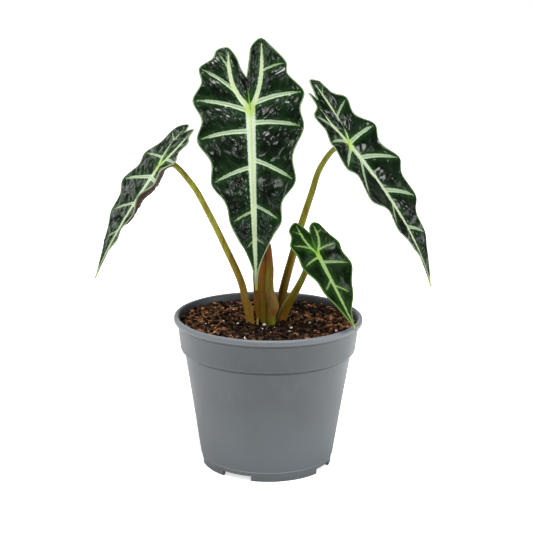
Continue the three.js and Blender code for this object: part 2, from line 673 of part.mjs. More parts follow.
// The corm that the stalks grow from, with its thick roots
function cormWithRoots(grow = 0) {
  const profile = [
    [0, CORM_TOP + grow], [CORM_RADIUS - 2 + grow, CORM_TOP + grow],
    [CORM_RADIUS + grow, CORM_TOP - 6], [CORM_RADIUS - 2.5 + grow, CORM_TOP - 18],
    [CORM_RADIUS - 10 + grow, CORM_TOP - CORM_LENGTH + 3 - grow],
    [0, CORM_TOP - CORM_LENGTH - grow],
  ];
  let solid = solidOf(turned(profile.reverse(), 16));
  for (let root = 0; root < ROOTS; root++) {
    const turn = (2 * Math.PI * (root + 0.35 * (root % 2))) / ROOTS;
    const reach = 1 + 0.12 * Math.sin(2.3 * root);
    const route = [[9, 68], [23, 56], [32 * reach, 38], [34 * reach, 20]].map(([out, height]) =>
      [out * Math.cos(turn + height / 90), out * Math.sin(turn + height / 90), height]);
    const radiusAt = (share) => grow + lerp(ROOT_RADIUS, 0.7, share);
    solid = solid.add(solidOf(taperedTube(curveThrough(route), radiusAt, 5, 6)));
  }
  return solid;
}

// The soil: a plug that follows the pot's inside, cloddy on top
function soilPlug() {
  const gap = POT_WALL + CLEARANCE;
  const rimRadius = lerp(COLLAR_FOOT_RADIUS, COLLAR_TOP_RADIUS, 0.75) - gap - 0.6;
  const rings = 6;
  const profile = [];
  for (let ring = 0; ring < rings; ring++) profile.push([(rimRadius * ring) / rings, SOIL_LEVEL]);
  profile.push([rimRadius, SOIL_LEVEL - 0.6],
    [COLLAR_FOOT_RADIUS - gap - 0.3, COLLAR_FOOT_HEIGHT + 0.9],
    [BODY_TOP_RADIUS - gap - 0.3, BODY_TOP_HEIGHT - 1],
    [LEDGE_RADIUS - gap - 1, FLOOR_UNDERSIDE + gap + 1.2],
    [0, FLOOR_UNDERSIDE + gap]);
  const geometry = turned(profile.reverse(), 30);
  const position = geometry.attributes.position;
  for (let i = 0; i < position.count; i++) {
    if (position.getZ(i) < SOIL_LEVEL - 0.1) continue;
    const [x, y] = [position.getX(i), position.getY(i)];
    const clods = Math.sin(x * 0.41 + 1.3) * Math.sin(y * 0.37 + 0.4)
      + 0.6 * Math.sin(x * 0.23 - y * 0.31) * Math.sin(y * 0.67 + x * 0.19);
    position.setZ(i, SOIL_LEVEL + SOIL_RELIEF * clods * 0.6);
  }
  return solidOf(geometry);
}

function mesh(name, geometry, material) {
  const part = new THREE.Mesh(geometry, material);
  part.name = name;
  return part;
}

function finish(color, roughness) {
  return new THREE.MeshStandardMaterial({ color, roughness, metalness: 0 });
}

const greyPolypropylene = finish('#7c8489', 0.6);
const peat = finish('#2b1a10', 0.95);
const cormBark = finish('#5a3a22', 0.9);
const darkBlade = finish('#0c2415', 0.3);
const freshBlade = finish('#14361a', 0.35);
const paleVein = finish('#c3d6a6', 0.45);
const freshVein = finish('#a3c46c', 0.45);
const oliveStalk = finish('#7a6a2c', 0.5);
const driedSheath = finish('#6b4a2a', 0.6);
const paleBract = finish('#b9a878', 0.6);

const plant = new THREE.Group();
plant.add(mesh('pot', pot(), greyPolypropylene));

let soil = soilPlug().subtract(cormWithRoots(CLEARANCE));
plant.add(mesh('corm_and_roots', geometryOf(cormWithRoots()), cormBark));
plant.add(mesh('old_sheath', geometryOf(oldSheath()), driedSheath));
plant.add(mesh('bract', geometryOf(bract()), paleBract));
soil = soil.subtract(oldSheath(CLEARANCE)).subtract(bract(CLEARANCE));

for (const [name, leaf] of Object.entries(LEAVES)) {
  const young = name === 'small';
  const sheet = bladeSheet(leaf);
  plant.add(mesh(`blade_${name}`, blade(sheet), young ? freshBlade : darkBlade));
  plant.add(mesh(`veins_${name}`, veins(sheet), young ? freshVein : paleVein));
  plant.add(mesh(`stalk_${name}`, geometryOf(stalk(name, sheet.frame)), oliveStalk));
  soil = soil.subtract(stalk(name, sheet.frame, CLEARANCE));
}
plant.add(mesh('soil', geometryOf(soil), peat));

export default plant;
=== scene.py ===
# %% [markdown]
# # A potted alocasia polly
#
# Dark arrow-shaped leaves with pale ribs, on slim stalks, in a grey nursery pot. The
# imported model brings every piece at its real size. This script dresses those pieces:
# it gives them finer surfaces and the finish of leaf, stalk, peat and moulded plastic.
#
# The leaves come first, because they are what the eye goes to. Then come the stalks,
# the pot and the soil.

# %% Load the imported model
import math
import random

import bpy
import numpy as np
from mathutils import Matrix, Vector, noise


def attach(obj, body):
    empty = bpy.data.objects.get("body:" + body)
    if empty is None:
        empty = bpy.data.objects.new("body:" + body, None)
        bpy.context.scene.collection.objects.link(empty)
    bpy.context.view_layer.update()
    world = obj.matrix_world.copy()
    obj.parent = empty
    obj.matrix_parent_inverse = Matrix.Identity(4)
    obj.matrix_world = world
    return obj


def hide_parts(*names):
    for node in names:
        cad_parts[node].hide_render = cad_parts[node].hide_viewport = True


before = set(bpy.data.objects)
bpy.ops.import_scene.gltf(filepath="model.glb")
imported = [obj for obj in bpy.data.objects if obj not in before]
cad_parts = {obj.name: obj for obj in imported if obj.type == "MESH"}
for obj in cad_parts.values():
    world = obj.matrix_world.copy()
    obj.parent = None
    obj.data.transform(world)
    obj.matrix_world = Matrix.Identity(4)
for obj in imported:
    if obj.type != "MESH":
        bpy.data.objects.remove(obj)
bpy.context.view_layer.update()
MM = 0.001


# %% [markdown]
# A few helpers keep the steps short. One turns a hex colour into the linear numbers
# that Blender calculates with. One adds a shader node, whose settings are numbers, hex
# colours or outputs to link, and hands back one output. The rest are the nodes that
# come again and again, each added to the tree of the output that it works on.

# %% Helpers for materials
def linear(hex_colour):
    channels = [int(hex_colour[i:i + 2], 16) / 255 for i in (1, 3, 5)]
    return [c / 12.92 if c <= 0.04045 else ((c + 0.055) / 1.055) ** 2.4 for c in channels] + [1.0]


def set_up(node, settings):
    for name, value in settings.items():
        if isinstance(value, bpy.types.NodeSocket):
            node.id_data.links.new(value, node.inputs[name])
        elif isinstance(name, int) or name in node.inputs:
            node.inputs[name].default_value = linear(value) if isinstance(value, str) else value
        else:
            setattr(node, name, value)


def add(tree, kind, settings, output=0):
    node = tree.nodes.new("ShaderNode" + kind)
    set_up(node, settings)
    return node.outputs[output]


def fade(value, start, end, low=0.0, high=1.0, how="SMOOTHSTEP"):
    """From low to high while the value goes from start to end."""
    return add(value.id_data, "MapRange", {
        "interpolation_type": how, "Value": value, "From Min": start, "From Max": end,
        "To Min": low, "To Max": high})


def blend(share, first, second):
    """The first colour where the share is 0, and the second where it is 1."""
    return add(share.id_data, "Mix", {"data_type": "RGBA", 0: share, 6: first, 7: second}, 2)


def calculate(operation, first, second=0.0):
    return add(first.id_data, "Math", {"operation": operation, 0: first, 1: second})


def times(first, second):
    return calculate("MULTIPLY", first, second)


def grain(place, scale, detail=3.0, roughness=0.55):
    return add(place.id_data, "TexNoise",
               {"Vector": place, "Scale": scale, "Detail": detail, "Roughness": roughness})


def material(name):
    """A new material with its node tree and its Principled shader."""
    made = bpy.data.materials.new(name)
    made.use_nodes = True
    return made, made.node_tree, made.node_tree.nodes["Principled BSDF"]


# %% [markdown]
# An operator acts on all that is selected, so everything is deselected before it. A
# modifier is applied at once, because the next step works on its result.

# %% Helpers for modelling
def deselect():
    if bpy.context.mode != "OBJECT":
        bpy.ops.object.mode_set(mode="OBJECT")
    bpy.ops.object.select_all(action="DESELECT")


def select_only(*objects):
    deselect()
    for piece in objects:
        piece.select_set(True)
    bpy.context.view_layer.objects.active = objects[0]


def new_object(name, data):
    made = bpy.data.objects.new(name, data)
    bpy.context.scene.collection.objects.link(made)
    return made


def give(piece, skin):
    """The piece gets this material in place of all that it had."""
    piece.data.materials.clear()
    piece.data.materials.append(skin)


def modify(piece, kind, **settings):
    """Put a modifier on the piece and apply it at once."""
    select_only(piece)
    modifier = piece.modifiers.new(kind, kind)
    for name, value in settings.items():
        setattr(modifier, name, value)
    bpy.ops.object.modifier_apply(modifier=modifier.name)


def points_of(mesh):
    places = np.zeros(len(mesh.vertices) * 3)
    mesh.vertices.foreach_get("co", places)
    return places.reshape(-1, 3)


def count_faces(piece):
    print(piece.name, len(piece.data.polygons), "faces")


def smooth_step(low, high, value):
    share = np.clip((value - low) / (high - low), 0, 1)
    return share * share * (3 - 2 * share)


# %% [markdown]
# ## The camera and the studio
#
# The plant is seen from a little above the rim of its pot, with a long lens. The
# camera stands in front of the leaves, about 90 cm off, and looks down by 13.5 degrees.

# %% Camera
CAMERA_PLACE = Vector((-1.6, -897, 354)) * MM
CAMERA_PITCH = 13.48
CAMERA_ROLL = 0.67
FOCAL_LENGTH = 91.1
SENSOR_WIDTH = 36

camera_data = bpy.data.cameras.new("camera")
camera_data.lens = FOCAL_LENGTH
camera_data.sensor_width = SENSOR_WIDTH
camera = new_object("camera", camera_data)
camera.matrix_world = (Matrix.Translation(CAMERA_PLACE)
                       @ Matrix.Rotation(math.radians(90 - CAMERA_PITCH), 4, "X")
                       @ Matrix.Rotation(math.radians(CAMERA_ROLL), 4, "Z"))
bpy.context.scene.camera = camera
bpy.context.scene.view_settings.view_transform = "Standard"
print("Camera at", [round(c, 3) for c in camera.location], "m")


# %% [markdown]
# A glossy dark leaf shows its lights more than its colour. Two boxes and two strips
# stand in front, where the puckers of the leaves catch them in patches, one box stands
# behind on the left and one hangs above.

# %% Soft boxes
PLANT_MIDDLE = Vector((0, 0, 0.17))
# Place and size in metres, and power in watts
SOFT_BOXES = {
    "left_box": ((-1.1, -0.5, 0.85), (0.3, 0.5), 3.5),
    "back_left_box": ((-1.05, 0.6, 0.75), (0.3, 0.5), 2.2),
    "right_box": ((1.15, -0.35, 0.6), (0.3, 0.6), 9),
    "top_box": ((0.0, -0.25, 1.5), (0.7, 0.4), 25),
    "left_strip": ((-0.6, -1.1, 0.7), (0.1, 0.6), 4.2),
    "right_strip": ((0.5, -1.15, 0.95), (0.1, 0.6), 4.2),
}

for name, (place, size, power) in SOFT_BOXES.items():
    light = bpy.data.lights.new(name, "AREA")
    light.shape = "RECTANGLE"
    light.size, light.size_y = size
    light.energy = power
    lamp = new_object(name, light)
    lamp.location = place
    lamp.rotation_euler = (PLANT_MIDDLE - Vector(place)).to_track_quat("-Z", "Y").to_euler()
print(len(SOFT_BOXES), "soft boxes")

# %% [markdown]
# The room is dim apart from a white wall behind the plant, so that the leaves mirror
# little and stay dark. Seen straight on it is white on every side: a Light Path node
# tells what is seen from what is mirrored.

# %% The room
TO_THE_WALL = (-0.35, 0.93, 0.1)
WALL_EDGE, WALL_FULL = 0.55, 0.82
DIM_ROOM = 0.09

world = bpy.data.worlds.new("studio")
bpy.context.scene.world = world
world.use_nodes = True
tree = world.node_tree
tree.nodes.clear()
direction = add(tree, "TexCoord", {}, "Generated")
towards = add(tree, "VectorMath", {"operation": "DOT_PRODUCT", 0: direction, 1: TO_THE_WALL}, "Value")
wall = fade(towards, WALL_EDGE, WALL_FULL, DIM_ROOM)
seen = add(tree, "LightPath", {}, "Is Camera Ray")
sky = add(tree, "Background", {"Color": "#ffffff", "Strength": calculate("MAXIMUM", wall, seen)})
set_up(tree.nodes.new("ShaderNodeOutputWorld"), {"Surface": sky})
print("The dim room has", DIM_ROOM, "of its wall's light")

# %% [markdown]
# The floor is white paper, grey in front of the plant, because the leaves would mirror
# it. From the pot outwards it glows more and more, as paper over a light table does,
# which leaves a soft shadow under the pot. Far off it is seen white.

# %% Floor
FLOOR_SIZE = 14
GREY_UP_TO, WHITE_FROM = -0.4, -0.15
SHADOW_CORE, SHADOW_EDGE = 0.05, 0.16
FAR_START, FAR_FULL = 0.18, 0.3

deselect()
bpy.ops.mesh.primitive_plane_add(size=FLOOR_SIZE)
floor = bpy.context.object
floor.name = "floor"
paper, tree, shader = material("white_backdrop_paper")
place = add(tree, "TexCoord", {}, "Object")
lit = fade(add(tree, "SeparateXYZ", {0: place}, "Y"), GREY_UP_TO, WHITE_FROM, how="LINEAR")
away = add(tree, "VectorMath", {"operation": "LENGTH", 0: place}, "Value")
glow = times(fade(away, SHADOW_CORE, SHADOW_EDGE, 0.15, 0.85, how="LINEAR"), lit)
seen = add(tree, "LightPath", {}, "Is Camera Ray")
far = times(fade(away, FAR_START, FAR_FULL, 0.6, how="LINEAR"), seen)
set_up(shader, {"Base Color": blend(lit, "#5c5c5b", "#f4f4f3"), "Roughness": 0.9,
                "Emission Color": "#ffffff", "Emission Strength": calculate("MAXIMUM", glow, far)})
give(floor, paper)
print("Floor laid")


# %% [markdown]
# ## The leaves
#
# A leaf of this plant is an arrowhead. Two rear lobes stand up behind the point where
# the stalk meets the blade, and a long drip tip hangs down in front. Each rib ends in
# an outward bulge of the margin, and between two ribs the margin falls back in a bay.
#
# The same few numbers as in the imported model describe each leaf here. A half is drawn
# flat, in millimetres across and along its midrib, from the rear lobe to the tip. Only
# two things differ. The right leaf's midrib is a little wider, and the near half of the
# left leaf curls up further, so that a strip of its underside shows.

# %% The leaves' values
# at: where the stalk meets the blade. swing: how far the tip points to +X, lean:
# towards -Y, roll: the face turned to -X. length: from there to the tip. droop: how far
# the midrib bends back. bow: how much the ribs bow to the rear. fold: rise of the left
# and right half. rearRise: extra height of the rear lobes, and ridge: height of the
# crease between them. midrib: its half width where it starts. bulge: how far the blade
# swells between two ribs, and wave: how far its margin goes up and down. sinus: where
# the lobes part. vein: the end of the rear vein. inner: the margin from the sinus to
# the top of the lobe. rows: where the rib leaves the midrib or the rear vein, the
# margin's outermost point at its end, the innermost point of the bay after it, and, if
# the margin is curled up there, how far at the one and at the other.
LEAVES = {
  "centre": {
    "at": [-13.4, -8, 247.2], "swing": 2.7, "lean": 16.8, "roll": -1, "length": 122.4, "droop": 22,
    "bow": 0.2, "fold": [6, 6], "rearRise": 1, "ridge": 0.6, "midrib": 3.3, "bulge": 1.8, "wave": 0.9,
    "sinus": [-2, -22],
    "left": {
      "vein": [13.5, -38], "inner": [[5, -27], [8, -35]], "rows": [
        [-38, 13.5, -41.5, 17.7, -41], [-27, 21.5, -39.5, 24.2, -34],
        [-12, 33, -28, 32, -18], [1.5, 38, -6.5, 32.5, 7],
        [14.5, 36, 20, 27.2, 35], [38, 27.4, 49, 18.5, 62],
        [67, 15.9, 75.5, 10.5, 87], [86, 6.8, 93.5, 2.3, 106]],
    },
    "right": {
      "vein": [8.7, -43], "inner": [[0, -34], [1.7, -42]], "rows": [
        [-43, 8.5, -47.5, 16, -40.5], [-25, 25, -30, 25.3, -23],
        [-4, 36, -10, 33, 1], [9, 35, 13, 27, 32],
        [33, 28.3, 48.5, 19, 62], [63, 18.2, 75, 12.5, 84],
        [85, 8.5, 91.5, 2.5, 105]],
    },
  },
  "left": {
    "at": [-74.4, -3, 207.1], "swing": -35.4, "lean": 20, "roll": 69.6, "length": 86, "droop": 13,
    "bow": 0.1, "fold": [14, 1], "rearRise": -4, "ridge": 3, "midrib": 2.1, "bulge": 1.5, "wave": 0.6,
    "sinus": [0, -30],
    "left": {
      "vein": [6, -31], "inner": [[2.5, -34]], "rows": [
        [-31, 6, -37, 11, -34], [-21.5, 16.5, -28.5, 16.2, -17.5],
        [-7.5, 24.2, -6, 19.5, 3], [8, 28, 17, 19.5, 28],
        [29, 20.7, 40, 12.8, 50.5], [50, 10.6, 60, 4, 70]],
    },
    "right": {
      "vein": [5, -30], "inner": [[1.5, -32.5]], "rows": [
        [-30, 4, -34.5, 8.5, -27.5], [-19, 11.5, -23, 13.5, -15, 0, 0.5],
        [-7, 24, -4, 27.5, 6, 3.5, 8], [9, 29.5, 16.5, 25, 27, 8.5, 10],
        [30, 17, 38.5, 8, 50, 4.5, 1.5], [52, 5, 57, 2, 68]],
    },
  },
  "right": {
    "at": [53.4, 8, 221.7], "swing": 39.9, "lean": -6, "roll": -64, "length": 123, "droop": 24.3,
    "bow": 0.15, "fold": [12, 13.5], "rearRise": 3.5, "ridge": 4.5, "midrib": 2.6, "bulge": 1.8,
    "wave": 0.8, "sinus": [0, -39],
    "left": {
      "vein": [7.2, -41], "inner": [[2, -43]], "rows": [
        [-41, 4.3, -47.2, 12, -38.5], [-17.5, 25, -37, 27.5, -25],
        [-4, 30, -17, 33.5, -13], [2, 33.5, 3.5, 31.5, 11, 0, 1],
        [13, 36.5, 28.5, 20.5, 47, 1.5, 1], [51, 20.5, 62, 14, 75.5, 1, 0],
        [79, 6, 87, 2.5, 100]],
    },
    "right": {
      "vein": [7, -46], "inner": [[2.5, -46]], "rows": [
        [-46, 6.7, -51.5, 11, -47], [-38, 14.2, -43, 15.5, -34],
        [-20, 26, -22.5, 21, -12, 0.5, 0.5], [-1, 34, 7, 25.2, 16, 0.5, 0.5],
        [11, 35.7, 37.5, 26.2, 44], [40, 29.2, 66, 18, 71.5],
        [72, 19.5, 90.5, 10.7, 98]],
    },
  },
  "small": {
    "at": [32, -22, 153.7], "swing": 30.3, "lean": 28, "roll": -30, "length": 58, "droop": 5,
    "bow": 0.2, "fold": [10, 10], "rearRise": 1, "ridge": 0.8, "midrib": 1.6, "bulge": 0.7, "wave": 0.3,
    "sinus": [1.5, -15],
    "left": {
      "vein": [5, -22], "inner": [[0.5, -19.5]], "rows": [
        [-22, 4.5, -25, 9, -23.5], [-15.5, 12, -20.5, 13, -15.5],
        [-4, 16.5, -10, 15.3, -1.5], [3, 15.5, 8, 10.8, 18.5],
        [21, 9, 29, 4.8, 41]],
    },
    "right": {
      "vein": [6.3, -18.3], "inner": [[3.3, -19]], "rows": [
        [-18.3, 7, -21, 10.3, -18.5], [-12.5, 11.8, -14.8, 13.3, -9.5],
        [-2, 17, -1, 16, 5], [7, 18, 16, 12.5, 27],
        [25, 9.5, 35.5, 3, 46]],
    },
  },
}

# How much of the fold is gone at the tip, and how far the rear lobes reach back
FOLD_TAPER = 0.6
REAR_REACH = 45
# The crease between the rear lobes
RIDGE_LENGTH = 40
RIDGE_HALF_WIDTH = 8
# How much of the rear vein lies beside the seam where the lobes part at its very end
SEAM_SHARE = 0.8
# The curl stays near the margin: it goes with this power of the way there
CURL_POWER = 4
# Where the blade is narrower than this, it bulges less between the ribs
BULGE_SPAN = 20
# How much finer the drip tip is than its line through the points
DRIP_TIP = 0.45


# %% [markdown]
# The margin is a smooth line through its bulges and bays. A centripetal Catmull-Rom
# curve goes through every point without loops, so the drawing keeps to the values.

# %% A smooth line through points
def smooth_line(points, places):
    points = np.array(points, float)
    ends = np.vstack([2 * points[0] - points[1], points, 2 * points[-1] - points[-2]])
    line = []
    for place in places:
        at = min(max(float(place), 0), 1) * (len(points) - 1)
        i = min(int(at), len(points) - 2)
        p0, p1, p2, p3 = ends[i:i + 4]
        d0, d1, d2 = (max(np.linalg.norm(b - a), 1e-6) ** 0.5
                      for a, b in ((p0, p1), (p1, p2), (p2, p3)))
        out = d1 * ((p1 - p0) / d0 - (p2 - p0) / (d0 + d1) + (p2 - p1) / d1)
        into = d1 * ((p2 - p1) / d1 - (p3 - p1) / (d1 + d2) + (p3 - p2) / d2)
        t = at - i
        line.append(p1 + out * t + (3 * (p2 - p1) - 2 * out - into) * t ** 2
                    + (2 * (p1 - p2) + out + into) * t ** 3)
    return np.array(line)


# %% [markdown]
# Each leaf has its own directions: towards its tip, out of its face and across it. The
# midrib bends back little by little, so a place on it comes from adding up short steps.

# %% From the flat drawing into space
def leaf_frame(leaf):
    swing, lean, roll, droop = (math.radians(leaf[key]) for key in ("swing", "lean", "roll", "droop"))
    tipward = np.array([math.sin(swing) * math.cos(lean), -math.sin(lean),
                        -math.cos(swing) * math.cos(lean)])
    front = np.array([0.0, -1.0, 0.0]) + tipward * tipward[1]
    front /= np.linalg.norm(front)
    side = np.cross(front, tipward)
    face = front * math.cos(roll) - side * math.sin(roll)
    across = np.cross(face, tipward)
    length = leaf["length"]
    steps = math.ceil(length)
    step = length / steps
    bends = droop * ((np.arange(steps) + 0.5) / steps) ** 1.5
    places = np.arange(steps + 1) * step
    forward = np.concatenate([[0], np.cumsum(np.cos(bends) * step)])
    backward = np.concatenate([[0], np.cumsum(-np.sin(bends) * step)])

    def place(u, v, height):
        bend = (droop * np.clip(v / length, 0, 1) ** 1.5)[:, None]
        along = np.where(v < 0, v, np.interp(v, places, forward))[:, None]
        sunk = np.interp(v, places, backward)[:, None]
        normal = face * np.cos(bend) + tipward * np.sin(bend)
        return (np.array(leaf["at"]) + tipward * along + face * sunk
                + across * u[:, None] + normal * height[:, None])

    return {"place": place, "tipward": tipward, "face": face}


# %% [markdown]
# A half is a net of lines that run from its skeleton, the rear vein and the midrib, to
# its margin. A line that starts at a rib's foot ends at the margin's bulge, so the net
# follows the ribs, and colour and relief can follow them too.

# %% One half of a leaf, drawn flat
REAR_LINES = 32
LINES_PER_ROW = 32
RINGS = 56
RIM_POINTS_PER_ROW = 60
DRIP_START, DRIP_FULL = 0.84, 0.97


def leaf_half(leaf, sign):
    half = leaf["left"] if sign < 0 else leaf["right"]
    rows = half["rows"]
    margin = [[*leaf["sinus"], 0]] + [[sign * u, v, 0] for u, v in half["inner"]]
    lobe_top = len(margin)
    for _, crest_u, crest_v, bay_u, bay_v, *curls in rows:
        crest_curl, bay_curl = curls or (0, 0)
        margin.append([sign * crest_u, crest_v, crest_curl - leaf["wave"]])
        margin.append([sign * bay_u, bay_v, bay_curl + leaf["wave"]])
    margin.append([0, leaf["length"], 0])
    last = len(margin) - 1
    vein_u, vein_v = half["vein"]

    def skeleton(along):
        rear = sign * vein_u * (1 - (1 - along / vein_v) ** 3)
        return np.stack([np.where(along < 0, rear, 0), along], 1)

    turn = np.linspace(0, 1, REAR_LINES + 1)[:-1]
    seam = SEAM_SHARE * min(leaf["sinus"][1] / vein_v, 1)
    rear_edge = smooth_line(margin, np.clip((turn - seam) / (1 - seam), 0, 1) * lobe_top / last)
    on_seam = turn < seam
    rear_edge[on_seam] = (turn[on_seam] / seam)[:, None] * np.array([*leaf["sinus"], 0])
    row = np.linspace(0, len(rows), len(rows) * LINES_PER_ROW + 1)
    edge = smooth_line(margin, (lobe_top + 2 * row) / last)
    edge[:, 0] *= 1 - DRIP_TIP * smooth_step(DRIP_START, DRIP_FULL, edge[:, 1] / leaf["length"])
    along = np.interp(row, np.arange(len(rows) + 1), [r[0] for r in rows] + [leaf["length"]])
    return {
        "rows": rows, "skeleton": skeleton, "rear_end": vein_v,
        "start": skeleton(np.concatenate([turn * vein_v, along])),
        "edge": np.vstack([rear_edge, edge]),
        "row": np.concatenate([np.full(REAR_LINES, -1.0), row]),
        "rim": smooth_line(margin, np.linspace(0, 1, RIM_POINTS_PER_ROW * len(rows))),
    }


# %% [markdown]
# The veins are told apart by distance. Every point of the net learns how deep it lies
# inside the nearest pale vein, in millimetres, and how far it is from the margin. Those
# numbers change evenly between points, so the material can draw a crisp edge from them.

# %% Distances
def distance_to_line(points, line):
    """The distance of each point to a line of points, and the place on it that is nearest."""
    starts, steps = line[:-1], np.diff(line, axis=0)
    lengths = np.maximum((steps ** 2).sum(1), 1e-12)
    best = np.full(len(points), 1e9)
    where = np.zeros(len(points))
    for i, (start, step, length) in enumerate(zip(starts, steps, lengths)):
        share = np.clip((points - start) @ step / length, 0, 1)
        gap = np.linalg.norm(points - start - share[:, None] * step, axis=1)
        nearer = gap < best
        best[nearer] = gap[nearer]
        where[nearer] = ((i + share) / len(steps))[nearer]
    return best, where


# %% [markdown]
# Every vein thins on its way. The midrib is the widest, the rear veins have about half
# of its width, and a rib has its full width only where the blade is broad.

# %% Veins as lines with a width
MIDRIB_TAPER = 0.74
REAR_VEIN_START = 0.54
REAR_VEIN_TAPER = 0.26
FULL_RIB_SPAN = 34
RIB_FOOT_WIDTH, RIB_END_WIDTH = 3.4, 1.8
# A rib stops this far from the margin, and short ones at this share of their length
RIB_STOP = 3
SHORT_RIB_STOP = 0.65
VEIN_POINTS = 30
MIDRIB_POINTS = 80


def bowed(start, edge, shares, bow):
    """The points of one line of the net, which bows towards the rear lobes."""
    span = np.linalg.norm(edge[:2] - start)
    flat = start + (edge[:2] - start) * shares[:, None]
    flat[:, 1] -= bow * span * shares * (1 - shares)
    return flat


def vein_lines(leaf, halves):
    """The midrib, the two rear veins and the ribs, as (points, half width at 0 to 1)."""
    size = leaf["midrib"]
    along = np.linspace(0, leaf["length"], MIDRIB_POINTS)
    midrib = np.stack([0 * along, along], 1)
    veins = [(midrib, lambda t: size * (1 - MIDRIB_TAPER * t) * (1 - 0.5 * t ** 8))]
    for half in halves:
        rear = half["rear_end"]
        veins.append((half["skeleton"](np.linspace(0, rear, VEIN_POINTS) - 1e-9),
                      lambda t, rear=rear: size
                      * (REAR_VEIN_START + REAR_VEIN_TAPER * t * rear / REAR_REACH)
                      * (1 - 0.6 * smooth_step(0.7, 1.0, t))))
    for half in halves:
        for k in range(1, len(half["rows"])):
            at = REAR_LINES + k * LINES_PER_ROW
            start, edge = half["start"][at], half["edge"][at]
            span = np.linalg.norm(edge[:2] - start)
            stop = max(1 - RIB_STOP / span, SHORT_RIB_STOP)
            rib_size = min(max(span / FULL_RIB_SPAN, 0.2), 1) / 2
            veins.append((bowed(start, edge, np.linspace(0, stop, VEIN_POINTS), leaf["bow"]),
                          lambda t, s=rib_size: s * (RIB_FOOT_WIDTH + (RIB_END_WIDTH - RIB_FOOT_WIDTH) * t)
                          * (1 - 0.75 * smooth_step(0.75, 1.0, t))))
    return veins


# %% [markdown]
# The blade between the ribs is quilted: it puffs up into small cushions, about 5 mm
# wide and 10 mm long, with sharp little valleys between them. The cushions stand
# slantwise to the midrib, in rows that a broad noise bends. Broad lumps and fine folds
# lie over them. The relief is in the mesh, so light really breaks on it.

# %% The quilted relief
PUFF_WIDTH = 4.6
PUFF_LENGTH = 10
PUFF_SLANT = math.radians(48)
# At the midrib the cushions lie square to it. This far out they have their full slant
SLANT_REACH = 14
BEND_SIZE = 13
BEND_SHIFT = 2.2
VALLEY_SLOPE = 1.3
LUMP_SIZE = 8
LUMP_HEIGHT = 1.2
# Fine folds run beside the midrib and fade away from it
FOLD_SPACING = 2.6
FOLD_REACH = 9
FOLD_HEIGHT = 0.14


def quilting(u, v, seed):
    heights = np.zeros(len(u))
    for i, (x, y) in enumerate(zip(u, v)):
        slant = PUFF_SLANT * min(abs(x) / SLANT_REACH, 1)
        beside = abs(x) * math.sin(slant) + y * math.cos(slant)
        along = abs(x) * math.cos(slant) - y * math.sin(slant)
        place = Vector((x / BEND_SIZE, y / BEND_SIZE, seed))
        bent = BEND_SHIFT * noise.noise(place)
        puff = noise.voronoi(Vector(((beside + bent) / PUFF_WIDTH, (along + 2 * bent) / PUFF_LENGTH,
                                     seed + math.copysign(3, x))))[0]
        gap = min(VALLEY_SLOPE * (puff[1] - puff[0]), 1)
        pillow = 1 - (1 - gap) ** 2
        full = 0.8 + 0.8 * noise.noise(place * 1.8)
        lumps = noise.noise(Vector((x / LUMP_SIZE, y / LUMP_SIZE, seed + 3)))
        wave = abs(math.sin(math.pi * (beside + 1.5 * bent) / FOLD_SPACING))
        fold = wave * math.exp(-abs(x) / FOLD_REACH)
        heights[i] = (pillow - 0.5) * full + LUMP_HEIGHT * lumps + FOLD_HEIGHT * fold
    return heights


# %% [markdown]
# A leaf isn't flat. It is folded along its midrib, its rear lobes rise with a crease
# between them, its margin may curl up, and it bulges between two ribs.

# %% How high each point of a half lies
# The bulge starts this far from the midrib. Its pace is above 1, so it is over a
# little before the margin
BULGE_START = 2.5
BULGE_PACE = 1.1


def raised(leaf, number, u, v, share, span, row, edge_height):
    """The height of each point of a half, before the relief."""
    fold = math.tan(math.radians(leaf["fold"][number]))
    height = np.abs(u) * fold * (1 - FOLD_TAPER * np.clip(v / leaf["length"], 0, 1))
    height += leaf["rearRise"] * np.clip(-v / REAR_REACH, 0, 1)
    height += (leaf["ridge"] * np.sin(np.pi * np.clip(-v / RIDGE_LENGTH, 0, 1))
               * np.maximum(0, 1 - np.abs(u) / RIDGE_HALF_WIDTH) ** 2)
    height += edge_height * share ** CURL_POWER
    between = np.where(row >= 0, np.sin(np.pi * (row % 1)) ** 2, 0)
    flat_part = np.clip(BULGE_START / np.maximum(span, 0.1), 0, 0.4)
    from_vein = np.clip((share - flat_part) / (1 - flat_part), 0, 1)
    return height + (leaf["bulge"] * between * np.minimum(1, span / BULGE_SPAN)
                     * np.sin(np.pi * np.minimum(BULGE_PACE * from_vein, 1)))


# %% [markdown]
# A half starts as a grid primitive. Its points are pulled to their places in the
# drawing, raised over the leaf's plane and moved into space. They keep their distances
# as attributes, which the material reads.

# %% One half of a blade
# How much lower the skin lies along the veins
VEIN_SINK = 0.25
# Far enough from every vein that it can't matter
NOWHERE_NEAR = 9.0
# The midrib and the two rear veins come first in the list
MAIN_VEINS = 3


def grid_of(name, lines, rings):
    """A grid primitive whose columns are the net's lines and whose rows are its rings."""
    deselect()
    bpy.ops.mesh.primitive_grid_add(x_subdivisions=lines - 1, y_subdivisions=rings - 1, size=2)
    grid = bpy.context.object
    grid.name = name
    places = points_of(grid.data)
    line = np.rint((places[:, 0] + 1) / 2 * (lines - 1)).astype(int)
    share = (places[:, 1] + 1) / 2
    return grid, line, share


def store(mesh, name, values):
    attribute = mesh.attributes.new(name, "FLOAT", "POINT")
    attribute.data.foreach_set("value", values.astype(np.float32))


